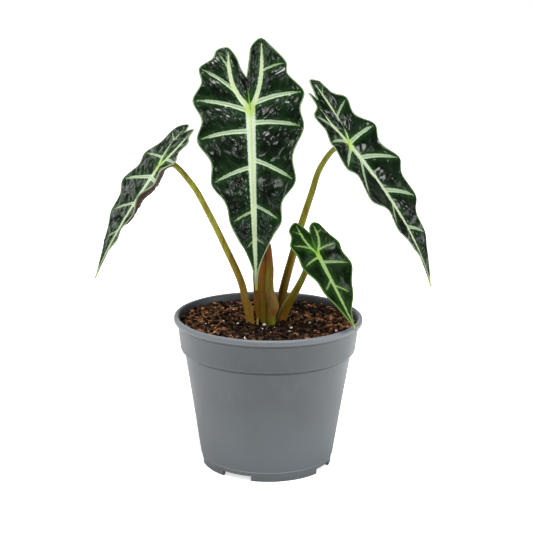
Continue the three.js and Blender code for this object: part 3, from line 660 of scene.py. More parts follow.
def build_half(name, number, leaf, half, veins, space, seed, puff):
    grid, line, share = grid_of(f"{name}_half_{number}", len(half["start"]), RINGS)
    start, edge, row = half["start"][line], half["edge"][line], half["row"][line]
    span = np.linalg.norm(edge[:, :2] - start, axis=1)
    flat = start + (edge[:, :2] - start) * share[:, None]
    outward = row >= 0
    flat[outward, 1] -= (leaf["bow"] * span * share * (1 - share))[outward]
    u, v = flat.T
    depth = np.full(len(u), -NOWHERE_NEAR)
    core = np.full(len(u), NOWHERE_NEAR)
    for vein, (points, half_width) in enumerate(veins):
        gap, where = distance_to_line(flat, points)
        inside = half_width(where) - gap
        core = np.where(inside > depth, gap, core)
        depth = np.maximum(depth, inside)
        if vein < MAIN_VEINS:
            main = depth
    margin_gap, _ = distance_to_line(flat, half["rim"][:, :2])
    seam_gap, _ = distance_to_line(flat, np.array([[0.0, 0.0], leaf["sinus"]]))

    # The relief fades out towards the veins and the margin, and the veins lie deeper
    height = raised(leaf, number, u, v, share, span, row, edge[:, 2])
    free = smooth_step(0, 1.8, -depth) * smooth_step(0.2, 2.2, margin_gap)
    height += puff * free * quilting(u, v, seed)
    height -= VEIN_SINK * smooth_step(-0.4, 0.6, depth)
    grid.data.vertices.foreach_set("co", (space["place"](u, v, height) * MM).ravel())
    for attribute, values in {
            "vein": depth, "core": core, "main": main, "junction": np.hypot(u, v),
            "margin": margin_gap, "seam": np.where(v < 0.5, seam_gap, NOWHERE_NEAR),
            "tip": v / leaf["length"], "across": u, "along": v}.items():
        store(grid.data, attribute, values)
    return grid


# %% [markdown]
# The halves are joined and welded along the midrib, and a Solidify modifier gives the
# blade its thickness. It hands the second of two material slots to the underside.
# Underneath, the veins are pushed out into keels, as they are on the real leaf.

# %% Build the blades
BLADE_THICKNESS = 0.6
KEEL = 1.15
WELD_DISTANCE = 0.02


def build_blade(name, leaf, seed, puff):
    space = leaf_frame(leaf)
    halves = [leaf_half(leaf, -1), leaf_half(leaf, 1)]
    veins = vein_lines(leaf, halves)
    left, right = (build_half(name, number, leaf, half, veins, space, seed, puff)
                   for number, half in enumerate(halves))
    select_only(right, left)
    bpy.ops.object.join()
    blade = right
    blade.name = name
    bpy.ops.object.mode_set(mode="EDIT")
    bpy.ops.mesh.select_all(action="SELECT")
    bpy.ops.mesh.remove_doubles(threshold=WELD_DISTANCE * MM)
    bpy.ops.mesh.normals_make_consistent(inside=False)
    bpy.ops.object.mode_set(mode="OBJECT")
    if np.mean([p.normal for p in blade.data.polygons], axis=0) @ space["face"] < 0:
        blade.data.flip_normals()
    count = len(blade.data.vertices)
    for _ in ("upper side", "underside"):
        blade.data.materials.append(None)
    modify(blade, "SOLIDIFY", thickness=BLADE_THICKNESS * MM, offset=0, material_offset=1)

    # The second set of points is the underside
    places = points_of(blade.data)
    top, under = places[:count], places[count:2 * count]
    down = under - top
    down /= np.maximum(np.linalg.norm(down, axis=1), 1e-9)[:, None]
    depth = np.zeros(len(blade.data.vertices))
    blade.data.attributes["vein"].data.foreach_get("value", depth)
    under += down * (KEEL * MM * smooth_step(-0.6, 2.6, depth[:count]))[:, None]
    blade.data.vertices.foreach_set("co", places.ravel())
    blade.data.update()
    select_only(blade)
    bpy.ops.object.shade_smooth()
    count_faces(blade)
    return blade


# How much each leaf's cushions stand up. A seed gives each leaf a relief of its own
PUFF_HEIGHTS = {"centre": 0.95, "left": 1.25, "right": 0.85, "small": 0.2}
SEED_STEP = 10.0
blades = {name: build_blade(f"leaf_{name}", leaf, SEED_STEP * number, PUFF_HEIGHTS[name])
          for number, (name, leaf) in enumerate(LEAVES.items())}

# %% [markdown]
# ### What a leaf is made of
#
# The upper side is a waxy, nearly black green. The veins are a pale grey-green that
# turns yellow where they meet at the stalk, and a lighter green seeps from them into
# the blade. A thin pale line runs round the margin.
#
# All patterns are drawn in the leaf's own millimetres, so that they keep their size on
# every leaf: a scale of 0.9 is a noise whose patches are about 1 mm wide.

# %% The upper side of a leaf
# The painted sheen's pale patches slant away from the midrib. The veins are less glossy than the skin
PAINTED_SHEEN_SLANT = math.radians(64)
VEIN_ROUGHNESS = 0.48


def value_of(tree, name):
    return add(tree, "Attribute", {"attribute_name": name}, "Fac")


def leaf_upper(name, colours):
    made, tree, shader = material(name)
    vein, core, main, junction, margin, seam, tip, across, along = (
        value_of(tree, stored) for stored in
        ("vein", "core", "main", "junction", "margin", "seam", "tip", "across", "along"))
    flat = add(tree, "CombineXYZ", {"X": across, "Y": along})
    broad = grain(flat, 0.07)
    fine = grain(flat, 0.9, 4.0)
    feather = times(calculate("SUBTRACT", fine, 0.5), 1.6)
    ragged = calculate("ADD", vein, feather)

    # The skin is nearly black, and green where it is near a vein
    colour = blend(fade(broad, 0.35, 0.65), colours["dark"], colours["deep"])
    halo = times(fade(ragged, -4.5, -0.1), fade(fine, 0.3, 0.7, 0.35, 1.0))
    colour = blend(times(halo, 0.75), colour, colours["halo"])
    # Painted sheen: paler slanting patches stand in for highlights on the puckers, and the rim has a faint
    # green band
    beside = add(tree, "CombineXYZ", {"X": calculate("ABSOLUTE", across), "Y": along})
    turned = add(tree, "VectorRotate", {"rotation_type": "Z_AXIS", "Angle": PAINTED_SHEEN_SLANT, "Vector": beside})
    slanted = add(tree, "Mapping", {"Scale": (0.13, 0.4, 1), "Vector": turned})
    painted_sheen = times(fade(grain(slanted, 1.0, 2.0, 0.5), 0.5, 0.62), fade(vein, -0.4, -1.2))
    colour = blend(times(painted_sheen, colours["sheen_share"]), colour, colours["sheen"])
    colour = blend(fade(margin, 1.8, 0.9, 0.0, 0.5), colour, colours["halo"])

    # Ribs are pale with a greener core, the midrib paler, and all yellow at the stalk
    rib = blend(fade(core, 0.75, 0.25, 0.0, 0.95), colours["rib"], colours["core"])
    midrib = blend(fade(core, 1.25, 0.55), colours["midrib"], colours["midrib_core"])
    pale = blend(fade(main, -0.6, 0.4), rib, midrib)
    pale = blend(fade(fine, 0.35, 0.65, 0.0, 0.3), pale, colours["rib_shade"])
    pale = blend(fade(junction, 8.0, 1.0, 0.0, 0.8), pale, colours["junction"])
    colour = blend(fade(ragged, -0.35, 0.35), colour, pale)

    # The throat behind the stalk, the seam between the lobes, the rim and the drip tip
    throat = times(fade(junction, 11.0, 3.0, 0.0, 0.6), fade(tip, 0.0, -0.02))
    throat = times(throat, fade(vein, 0.2, -0.3))
    colour = blend(throat, colour, colours["throat"])
    at_seam = times(fade(seam, 0.6, 0.2), fade(junction, 16.0, 6.0))
    colour = blend(at_seam, colour, colours["seam"])
    colour = blend(fade(margin, 0.85, 0.5, 0.0, 0.85), colour, colours["margin"])
    colour = blend(fade(tip, 0.925, 0.965), colour, colours["tip"])
    colour = blend(fade(tip, 0.982, 0.992), colour, "#4a2c14")

    waxy = fade(broad, 0.3, 0.7, colours["gloss"], colours["gloss"] + 0.08)
    rough = add(tree, "Mix", {"data_type": "FLOAT", 0: fade(vein, -0.3, 0.4), 2: waxy, 3: VEIN_ROUGHNESS})
    pores = add(tree, "Bump", {"Strength": 0.15, "Distance": 0.05 * MM, "Height": grain(flat, 2.6, 2.0)})
    set_up(shader, {"Base Color": colour, "Roughness": rough, "Normal": pores,
                    "Specular IOR Level": colours["reflection"]})
    return made


# %% [markdown]
# The underside is dull, a purple-brown that is nearly black in the shade, and its veins
# are paler keels. It throws back little light, so it looks like felt next to the wax.

# %% The underside of a leaf
def leaf_under(name, colours):
    made, tree, shader = material(name)
    vein, margin = value_of(tree, "vein"), value_of(tree, "margin")
    flat = add(tree, "CombineXYZ", {"X": value_of(tree, "across"), "Y": value_of(tree, "along")})
    colour = blend(fade(grain(flat, 0.1), 0.35, 0.65), colours["under"], colours["under_pale"])
    colour = blend(fade(grain(flat, 1.1, 4.0), 0.4, 0.7, 0.0, 0.3), colour, colours["under_dark"])
    colour = blend(fade(vein, -0.5, 0.6), colour, colours["keel"])
    colour = blend(fade(margin, 0.7, 0.3, 0.0, 0.8), colour, colours["under_margin"])
    set_up(shader, {"Base Color": colour, "Roughness": 0.6, "Specular IOR Level": 0.12})
    return made


# %% [markdown]
# The four leaves aren't alike. The left one is puckered and has the most painted sheen, pale
# patches that stand in for highlights. The right one, turned from the light, has a darker skin
# and darker ribs painted in as shade, and the small one is young and a fresher green.

# %% Leaf colours
# sheen is the colour of the painted sheen, pale patches that stand in for highlights, and sheen_share is
# how much of it is laid on
GROWN = {
    "dark": "#030b03", "deep": "#0b2009", "halo": "#1b3c16", "throat": "#28541a",
    "rib": "#aec0a8", "rib_shade": "#98aa8e", "midrib": "#b8c8b2", "core": "#7a8e50",
    "midrib_core": "#b3c18a", "junction": "#98b244", "seam": "#6ba01a", "margin": "#8da07c",
    "tip": "#a0aa3c", "under": "#2e1c19", "under_pale": "#3e312b", "under_dark": "#1c110e",
    "keel": "#7d7a5c", "under_margin": "#7c7c40", "sheen": "#5c625c", "sheen_share": 0.05,
    "gloss": 0.17, "reflection": 0.28,
}
# Painted sheen: the left leaf gets the most pale patches, which stand in for highlights on its puckers
PUCKERED = {
    **GROWN, "sheen": "#62685e", "sheen_share": 0.7, "midrib_core": "#a8b48e",
    "core": "#7f8f62", "gloss": 0.26, "reflection": 0.12,
}
# Painted shade: the leaf turned from the light gets a darker skin and darker, duller ribs
SHADE_PAINTED = {
    **GROWN, "dark": "#020802", "deep": "#091a07", "sheen_share": 0.0, "midrib_core": "#a8b486",
    "midrib": "#a8b8a2", "rib": "#96a890", "rib_shade": "#829478", "core": "#74865c",
}
YOUNG = {
    **GROWN, "dark": "#040d02", "deep": "#0b1c06", "halo": "#1e3a12", "rib": "#7b9664",
    "rib_shade": "#6a8454", "midrib": "#84a06c", "core": "#66823e", "midrib_core": "#7e9656",
    "junction": "#7c9e38", "seam": "#3a6416", "margin": "#5e783a", "under": "#55603c",
    "under_pale": "#66704a", "under_dark": "#454c30", "sheen": "#3c5432", "sheen_share": 0.12,
    "reflection": 0.12,
}
uppers = {"centre": leaf_upper("waxy_dark_leaf", GROWN),
          "left": leaf_upper("puckered_dark_leaf", PUCKERED),
          "right": leaf_upper("shade_painted_dark_leaf", SHADE_PAINTED),
          "small": leaf_upper("waxy_young_leaf", YOUNG)}
grown_under = leaf_under("dull_leaf_underside", GROWN)
young_under = leaf_under("young_leaf_underside", YOUNG)
for name, blade in blades.items():
    young = name == "small"
    blade.data.materials[0] = uppers[name]
    blade.data.materials[1] = young_under if young else grown_under
    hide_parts(f"blade_{name}", f"veins_{name}")
    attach(blade, "root")
print(len(blades), "leaves dressed")


# %% [markdown]
# ## The stalks
#
# A stalk is thick and rounded at its foot and thins on its way up, then swings over to
# meet the back of its blade. A curve with a radius at each of its points draws it. The
# foot of an older stalk is winged: its edges are the sheath that once held the next leaf.

# %% The stalks' values
# route: points from the soil to the blade. radii: at the foot, halfway and at the blade.
# arrival: how much the stalk meets the blade along it and through it. wings: the side
# that a wing points to, and how far it reaches out at each height.
STALKS = {
  "centre": {
    "route": [[-2.2, -4, 97], [-4, -2, 130], [-7, 2, 170], [-11, 8, 215], [-14, 8, 243]],
    "radii": [3.6, 2.6, 2.1], "arrival": [0.75, 0.65],
    "wings": [{"side": [-1, 0.15], "reach": [[88, 5], [100, 5.8], [112, 7], [134, 7], [150, 1]]}],
  },
  "left": {
    "route": [[-12, -3, 97], [-15.7, -2, 115.6], [-18.8, -1, 128], [-30, 1, 152.5],
      [-41.3, 3, 175], [-52.6, 4, 194.5]],
    "radii": [2.9, 2.3, 1.9], "arrival": [1, 0.5],
    "wings": [{"side": [0.9, -0.44], "reach": [[88, 2], [98, 3.4], [112, 4.2], [122, 1]]}],
  },
  "right": {
    "route": [[6, 9.5, 97], [10, 10, 119], [16.2, 11, 144], [22.3, 12, 167], [28.4, 13, 187],
      [34.5, 13, 206]],
    "radii": [3.6, 2.6, 1.8], "arrival": [0.4, 0.8], "wings": [],
  },
  "small": {
    "route": [[8.4, 1.2, 97], [12.6, 0, 111], [18.6, -4, 123], [24.8, -9, 138]],
    "radii": [4.2, 2.5, 1.5], "arrival": [0.75, 0.65], "wings": [],
  },
}
STALK_FOOT = 88
STALK_POINTS = 70
SEAT_BELOW_FACE = 1.3
LAST_STRETCH = 8
# The end of a stalk is rounded off under the blade
ROUNDED_END = 2.2
ROUNDED_BY = 0.55


# %% A stalk's line
def stalk_points(name):
    stalk, leaf = STALKS[name], LEAVES[name]
    space = leaf_frame(leaf)
    along, through = stalk["arrival"]
    arrival = space["tipward"] * along + space["face"] * through
    arrival /= np.linalg.norm(arrival)
    end = np.array(leaf["at"]) - space["face"] * SEAT_BELOW_FACE
    foot = [*stalk["route"][0][:2], STALK_FOOT]
    path = [foot, *stalk["route"], end - arrival * LAST_STRETCH, end]
    places = np.linspace(0, 1, STALK_POINTS)
    points = smooth_line(path, places)
    run = np.concatenate([[0], np.cumsum(np.linalg.norm(np.diff(points, axis=0), axis=1))])
    radii = np.interp(run / run[-1], [0, 0.5, 1], stalk["radii"])
    radii *= 1 - ROUNDED_BY * smooth_step(run[-1] - ROUNDED_END, run[-1], run)
    return points, radii


# %% [markdown]
# A tube is a curve with a bevel, turned into a mesh. A sheet is a grid pulled through
# rows of points and made thick: the wings, the old sheath and the bract are sheets.

# %% Tubes and sheets
def draw_tube(name, points, radii):
    curve = bpy.data.curves.new(name, "CURVE")
    curve.dimensions = "3D"
    curve.bevel_depth = MM
    curve.bevel_resolution = 6
    curve.use_fill_caps = True
    line = curve.splines.new("POLY")
    line.points.add(len(points) - 1)
    for point, place, radius in zip(line.points, points, radii):
        point.co = (*(place * MM), 1)
        point.radius = radius
    select_only(new_object(name, curve))
    bpy.ops.object.convert(target="MESH")
    return bpy.context.object


def draw_sheet(name, rows, thickness):
    """A sheet through rows of points, made thick."""
    rows = np.array(rows)
    grid, line, share = grid_of(name, rows.shape[1], rows.shape[0])
    row = np.rint(share * (rows.shape[0] - 1)).astype(int)
    grid.data.vertices.foreach_set("co", (rows[row, line] * MM).ravel())
    modify(grid, "SOLIDIFY", thickness=thickness * MM, offset=0)
    return grid


# %% [markdown]
# Stalk and wings are made one skin by a Remesh modifier, and smoothed a little, so that
# a wing grows out of its stalk without a seam.

# %% Build the stalks
WING_THICKNESS = 0.9
WING_LEVELS, WING_LINES = 60, 9
WING_WAVE, WING_WAVE_LENGTH = 0.9, 9
SKIN_FINENESS = 0.4


def wing_rows(wing, points):
    """The rows of a wing, from the stalk's middle outwards, with a wavy edge."""
    outward = np.array([*wing["side"], 0]) / np.linalg.norm(wing["side"])
    sideways = np.array([-outward[1], outward[0], 0])
    heights, reaches = np.array(wing["reach"]).T
    rows = []
    for level in np.linspace(heights[0], heights[-1], WING_LEVELS):
        centre = np.array([np.interp(level, points[:, 2], points[:, axis]) for axis in (0, 1, 2)])
        reach = np.interp(level, heights, reaches)
        wave = noise.noise(Vector((0, 0, level / WING_WAVE_LENGTH)))
        rows.append([centre + outward * share * reach + sideways * WING_WAVE * wave * share ** 2
                     for share in np.linspace(0, 1, WING_LINES)])
    return rows


def build_stalk(name):
    points, radii = stalk_points(name)
    pieces = [draw_tube(f"petiole_{name}", points, radii)]
    for wing in STALKS[name]["wings"]:
        pieces.append(draw_sheet(f"wing_{name}", wing_rows(wing, points), WING_THICKNESS))
    select_only(*pieces)
    bpy.ops.object.join()
    stalk = bpy.context.object
    modify(stalk, "REMESH", mode="VOXEL", voxel_size=SKIN_FINENESS * MM, use_smooth_shade=True)
    modify(stalk, "SMOOTH", factor=0.5, iterations=4)
    bpy.ops.object.shade_smooth()
    count_faces(stalk)
    return stalk


stalks = {name: build_stalk(name) for name in STALKS}


# %% [markdown]
# A fresh stalk is olive green above and red-brown towards the soil, with fine streaks
# and mottling along its length. The colour follows the height above the ground. The
# skin is fleshy and a little shiny. The pattern is stretched six times upwards, and its
# streaks are about 1 mm wide.

# %% Stalk materials
UPWARD_STRETCH = (1, 1, 0.16)
LEVEL_SHIFT = 22


def streaked_skin(name, stops, streak, flush, roughness=0.42):
    """A skin whose colour follows the height: stops are (height in mm, colour)."""
    made, tree, shader = material(name)
    place = add(tree, "TexCoord", {}, "Object")
    height = add(tree, "SeparateXYZ", {0: place}, "Z")
    stretched = add(tree, "Mapping", {"Scale": UPWARD_STRETCH, "Vector": place})
    streaks = grain(stretched, 900, 4.0)
    patches = grain(stretched, 160)
    blotches = grain(stretched, 240, 2.0)
    bottom, top = stops[0][0], stops[-1][0]
    shift = times(calculate("SUBTRACT", patches, 0.5), LEVEL_SHIFT * MM)
    share = fade(calculate("ADD", height, shift), bottom * MM, top * MM, how="LINEAR")
    by_height = add(tree, "ValToRGB", {"Fac": share}, "Color")
    elements = by_height.node.color_ramp.elements
    while len(elements) < len(stops):
        elements.new(0.5)
    for element, (level, colour) in zip(elements, stops):
        element.position = (level - bottom) / (top - bottom)
        element.color = linear(colour)
    colour = blend(fade(blotches, 0.48, 0.62, 0.0, 0.6), by_height, flush)
    colour = blend(fade(streaks, 0.45, 0.7, 0.0, 0.35), colour, streak)
    ridges = add(tree, "Bump", {"Strength": 0.3, "Distance": 0.3 * MM, "Height": streaks})
    set_up(shader, {"Base Color": colour, "Roughness": roughness, "Specular IOR Level": 0.18,
                    "Normal": ridges})
    return made


STALK_COLOURS = {
    "centre": [(95, "#5c5c0a"), (108, "#6e5a14"), (130, "#7e5216"), (150, "#82621a"),
               (205, "#787a1a"), (245, "#8a8c34")],
    "left": [(95, "#8e8e34"), (104, "#967226"), (125, "#a08028"), (150, "#a49a34"),
             (180, "#a4aa3e"), (207, "#9aa236")],
    "right": [(95, "#4c3606"), (115, "#5f480a"), (140, "#7a6812"), (170, "#928e2a"),
              (215, "#9ca23e")],
    "small": [(95, "#6a5c18"), (104, "#6e480e"), (116, "#746414"), (135, "#7e8424")],
}
FLUSHES = {"centre": "#8e4c22", "left": "#8a6428", "right": "#7a5418", "small": "#7c5a1c"}
STREAK = "#5e3a10"
for name, stalk in stalks.items():
    skin = streaked_skin(f"fleshy_stalk_{name}", STALK_COLOURS[name], STREAK, FLUSHES[name])
    give(stalk, skin)
    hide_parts(f"stalk_{name}")
    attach(stalk, "root")
print(len(stalks), "stalks dressed")


# %% [markdown]
# The old sheath is fading. It is still green at its foot and brown at the top, where it
# is torn. It stands away from the right side of the centre stalk like a half-open
# gutter, creased along its length. A small pale bract stands at the foot.

# %% Old sheath and bract
# Each line: height, middle of the gutter, its radius, and the turns where its wall
# starts and ends
OLD_SHEATH = [
    [88, 2.6, -6, 2.2, -140, 80], [97, 2.6, -6, 2.2, -140, 80], [104, 2, -5.6, 2.8, -145, 80],
    [112, 3.2, -5.5, 3.8, -165, 85], [118, 1.9, -5, 3.5, -175, 90], [124, 0.6, -4, 2.8, -175, 95],
    [139, 0.3, -1.6, 2.6, -180, 95], [150, -0.3, -0.6, 2, -180, 80], [155, -0.6, -0.4, 1.5, -170, 40],
]
# Each line: height, middle and half width
BRACT = [[88, -7.4, -9.4, 0.8], [98, -7.4, -9.4, 0.7], [102, -7.3, -9.2, 0.45], [105, -7.2, -8.8, 0.08]]
CREASE_DEPTH = 0.35
CRUMPLE_DEPTH = 0.3
TORN_EDGE = 1.6
TORN_FROM, TORN_TO = 146, 155


def sheath_rows(lines, levels):
    rows = []
    for height, x, y, radius, start, end in smooth_line(OLD_SHEATH, np.linspace(0, 1, levels)):
        row = []
        for turn in np.radians(np.linspace(start, end, lines)):
            crease = CREASE_DEPTH * noise.noise(Vector((turn * 4, 0, height / 25)))
            crumple = CRUMPLE_DEPTH * noise.noise(Vector((turn * 2, 5, height / 5)))
            torn = TORN_EDGE * noise.noise(Vector((turn * 3, 9, 0)))
            torn *= smooth_step(TORN_FROM, TORN_TO, height)
            reach = radius + crease + crumple
            row.append([x + reach * math.cos(turn), y + reach * math.sin(turn), height + torn])
        rows.append(row)
    return rows


def bract_rows(lines, levels):
    return [[[x + side * half_width, y + 0.5 * side * side, height]
             for side in np.linspace(-1, 1, lines)]
            for height, x, y, half_width in smooth_line(BRACT, np.linspace(0, 1, levels))]


old_sheath = draw_sheet("dry_sheath", sheath_rows(lines=40, levels=150), thickness=0.5)
bract = draw_sheet("pale_bract", bract_rows(lines=9, levels=40), thickness=0.7)

# %% [markdown]
# Both have the streaked skin of a stalk, only duller, because they have begun to dry.

# %% Sheath and bract materials
FADING = [(95, "#66800f"), (104, "#6a6a1c"), (112, "#6f6a2a"), (120, "#6e5c22"), (135, "#7e7a1e"),
          (148, "#86501e"), (155, "#7a4a20")]
PALE = [(95, "#6e5c24"), (100, "#8e7e40"), (105, "#a8985c")]
fading = streaked_skin("fading_sheath", FADING, "#5e3a14", "#8a4426", roughness=0.5)
pale = streaked_skin("dried_pale_bract", PALE, "#6a5828", "#86702e", roughness=0.6)
for piece, skin, node, slot in ((old_sheath, fading, "old_sheath", "sheath"),
                                (bract, pale, "bract", "bract")):
    give(piece, skin)
    select_only(piece)
    bpy.ops.object.shade_smooth()
    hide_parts(node)
    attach(piece, "root")
    count_faces(piece)


# %% [markdown]
# ## The pot
#
# The pot is moulded from grey polypropylene. A circle is drawn up its outside, over the
# rolled lip and down its inside, one ring after another.

# %% Pot shell
# Radius and height of each ring, from the floor's underside round to the floor
POT_SIDES = 144
POT_PROFILE = [
    (42, 4), (42.6, 0.2), (42.9, 0), (44.8, 0), (45.1, 0.3), (45.4, 6.1), (45.6, 6.4),
    (46, 6.6), (46.2, 6.9), (57.5, 79.1), (57.8, 79.6), (59.3, 80.8), (59.8, 81.4), (60.3, 82.3),
    (60.5, 83.2), (62.5, 99.6), (62.8, 100.2), (64.1, 100.7), (64.7, 101.1), (65, 101.9),
    (65, 103.6), (64.7, 104.4), (64.2, 104.8), (63.5, 105), (62.7, 104.9), (62, 104.5),
    (61.5, 103.8), (61.2, 102.8), (58.9, 82.6), (58.4, 81.5), (56.4, 79.8), (56.1, 78.9),
    (44.7, 6.7), (44.4, 6), (43.7, 5.5),
]

deselect()
bpy.ops.mesh.primitive_circle_add(vertices=POT_SIDES, radius=POT_PROFILE[0][0] * MM, fill_type="NGON",
                                  location=(0, 0, POT_PROFILE[0][1] * MM))
pot = bpy.context.object
pot.name = "nursery_pot"
bpy.ops.object.transform_apply(location=True)
bpy.ops.object.mode_set(mode="EDIT")
bpy.ops.mesh.select_all(action="SELECT")
for (radius, height), (next_radius, next_height) in zip(POT_PROFILE, POT_PROFILE[1:]):
    grow = next_radius / radius
    bpy.ops.mesh.extrude_region_move(
        TRANSFORM_OT_translate={"value": (0, 0, (next_height - height) * MM)})
    bpy.ops.transform.resize(value=(grow, grow, 1), center_override=(0, 0, next_height * MM))
bpy.ops.mesh.select_all(action="SELECT")
bpy.ops.mesh.normals_make_consistent(inside=False)
bpy.ops.object.mode_set(mode="OBJECT")
count_faces(pot)

# %% [markdown]
# Wedges cut the notches out of the foot ring, where water runs away, and cylinders cut
# the drain holes. A Boolean modifier does each cut.

# %% Notches and drain holes
FOOT_RADIUS = 45.2
# The middle of each notch and its width, in degrees round the foot
FOOT_NOTCHES = [(-27, 23), (61, 19), (-84, 12), (152, 23), (-150, 12)]
NOTCH_HEIGHT = 3.6
NOTCH_SLANT = 1.6
WEDGE_BELOW, WEDGE_HALF_DEPTH = 4, 4
DRAIN_HOLE_RADIUS = 4
DRAIN_HOLE_RING = 34
DRAIN_HOLES = 6
DRAIN_CUT = 8
FLOOR_UNDERSIDE = 4
POT_WALL = 1.5

cutters = []
for turn, width in FOOT_NOTCHES:
    half_width = FOOT_RADIUS * math.radians(width) / 2
    deselect()
    bpy.ops.mesh.primitive_cube_add(
        size=2, location=(0, -(FOOT_RADIUS - 1) * MM, (NOTCH_HEIGHT - WEDGE_BELOW) / 2 * MM))
    wedge = bpy.context.object
    wedge.scale = (half_width * MM, WEDGE_HALF_DEPTH * MM, (NOTCH_HEIGHT + WEDGE_BELOW) / 2 * MM)
    bpy.ops.object.transform_apply(location=True, scale=True)
    for corner in wedge.data.vertices:
        corner.co.x += math.copysign((NOTCH_SLANT if corner.co.z < 0 else -NOTCH_SLANT) * MM, corner.co.x)
    wedge.rotation_euler.z = math.radians(turn)
    bpy.ops.object.transform_apply(rotation=True)
    cutters.append(wedge)
for hole in range(DRAIN_HOLES):
    turn = 2 * math.pi * (hole + 0.5) / DRAIN_HOLES
    deselect()
    bpy.ops.mesh.primitive_cylinder_add(
        vertices=32, radius=DRAIN_HOLE_RADIUS * MM, depth=DRAIN_CUT * MM,
        location=(DRAIN_HOLE_RING * math.cos(turn) * MM, DRAIN_HOLE_RING * math.sin(turn) * MM,
                  (FLOOR_UNDERSIDE + POT_WALL / 2) * MM))
    bpy.ops.object.transform_apply(location=True)
    cutters.append(bpy.context.object)
for cutter in cutters:
    modify(pot, "BOOLEAN", object=cutter, operation="DIFFERENCE")
    bpy.data.objects.remove(cutter)
select_only(pot)
bpy.ops.object.shade_smooth_by_angle(angle=math.radians(32))
count_faces(pot)

# %% [markdown]
# Moulded polypropylene is matte and slightly cloudy, with fine scuffs. Light and shade are
# painted into its colour: it is painted lighter low down, as light from the floor, the steps
# under the lip and the collar get dark lines of painted shade, the top of the lip and the
# ledge above the foot get painted highlights, and the inside is painted dark as shade.

# %% Pot material
# Each line of painted shade under a step: from where to where, in millimetres up the pot
PAINTED_SHADE_LINES = ((98.9, 100.9), (79.2, 82.0))
GROOVE_START, GROOVE_END = 0.9, 0.5
# The wall leans out by this much for each millimetre of height
WALL_TAPER = 0.116

moulded, tree, shader = material("matte_moulded_polypropylene")
place = add(tree, "TexCoord", {}, "Object")
height = add(tree, "SeparateXYZ", {0: place}, "Z")
clouds = grain(place, 35)
scuffs = grain(add(tree, "Mapping", {"Scale": (1, 1, 0.25), "Vector": place}), 420, 4.0)
colour = blend(fade(clouds, 0.35, 0.65), "#3b4044", "#42484c")
colour = blend(fade(scuffs, 0.55, 0.8, 0.0, 0.07), colour, "#7b8083")
# Painted light: lighter low down, where light comes up from the floor
colour = blend(fade(height, 60 * MM, 5 * MM, 0.0, 0.6), colour, "#545b60")
# Painted shade: dark lines in the steps under the lip and the collar
for low, high in PAINTED_SHADE_LINES:
    painted_groove_shade = times(fade(height, low * MM, (low + GROOVE_START) * MM),
                   fade(height, high * MM, (high - GROOVE_END) * MM, 0.0, 0.85))
    colour = blend(painted_groove_shade, colour, "#14171a")
# Painted highlight: the top of the lip is paler, where light falls from above
colour = blend(fade(height, 100.9 * MM, 101.8 * MM, 0.0, 0.8), colour, "#676d72")
# Painted highlight: a thin pale line on the ledge above the foot, which catches the light
painted_ledge_highlight = times(fade(height, 6.1 * MM, 6.4 * MM), fade(height, 7.1 * MM, 6.7 * MM, 0.0, 0.5))
colour = blend(painted_ledge_highlight, colour, "#a4a8a8")
# Painted shade: the inner wall above the soil is darkened
level_place = add(tree, "Mapping", {"Scale": (1, 1, 0), "Vector": place})
radius = add(tree, "VectorMath", {"operation": "LENGTH", 0: level_place}, "Value")
inward = calculate("SUBTRACT", radius, times(height, WALL_TAPER))
inside = times(fade(inward, 50.4 * MM, 49.9 * MM), fade(height, 90 * MM, 91 * MM))
colour = blend(times(inside, 0.8), colour, "#1e2022")
texture = add(tree, "Bump", {"Strength": 0.12, "Distance": 0.2 * MM, "Height": grain(place, 1500, 2.0)})
set_up(shader, {"Base Color": colour, "Roughness": fade(clouds, 0.3, 0.7, 0.44, 0.54),
                "Normal": texture})
give(pot, moulded)
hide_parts("pot")
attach(pot, "root")
print("Pot dressed")


# %% [markdown]
# ## The potting soil
#
# Peat is a heap of crumbs: dark lumps, a few orange-brown chips of bark and wood
# fibre, and white grains of perlite. A bumpy ground lies on the packed soil's top, and
# the crumbs are strewn over it from a fixed seed.

# %% Ground
SOIL_LEVEL = 97.5
SOIL_RADIUS = 60.3
GROUND_LINES = 121
# The ground lies this high over the packed soil, with broad clods and fine roughness
GROUND_LIFT = 0.9
CLOD_HEIGHT = 0.66
ROUGH_HEIGHT = 0.8


def ground_height(x, y):
    clods = (math.sin(x * 0.41 + 1.3) * math.sin(y * 0.37 + 0.4)
             + 0.6 * math.sin(x * 0.23 - y * 0.31) * math.sin(y * 0.67 + x * 0.19))
    rough = noise.noise(Vector((x / 4, y / 4, 0))) + 0.5 * noise.noise(Vector((x / 1.6, y / 1.6, 4)))
    return SOIL_LEVEL + GROUND_LIFT + CLOD_HEIGHT * clods + ROUGH_HEIGHT * rough


deselect()
bpy.ops.mesh.primitive_grid_add(x_subdivisions=GROUND_LINES, y_subdivisions=GROUND_LINES, size=2)
ground = bpy.context.object
ground.name = "peat_ground"
for corner in ground.data.vertices:
    x, y = corner.co.x, corner.co.y
    x, y = (SOIL_RADIUS * x * math.sqrt(1 - y * y / 2), SOIL_RADIUS * y * math.sqrt(1 - x * x / 2))
    corner.co = Vector((x, y, ground_height(x, y))) * MM
bpy.ops.object.shade_smooth()
count_faces(ground)

# %% [markdown]
# Each crumb is a rough copy of one small shape, with its own size, turn and tone. The
# copies are written straight into one mesh, because thousands of separate objects
# would be slow. A lump serves for peat and perlite, a cube for chips.

# %% Crumbs, chips and grains
WALL_GAP = 0.6


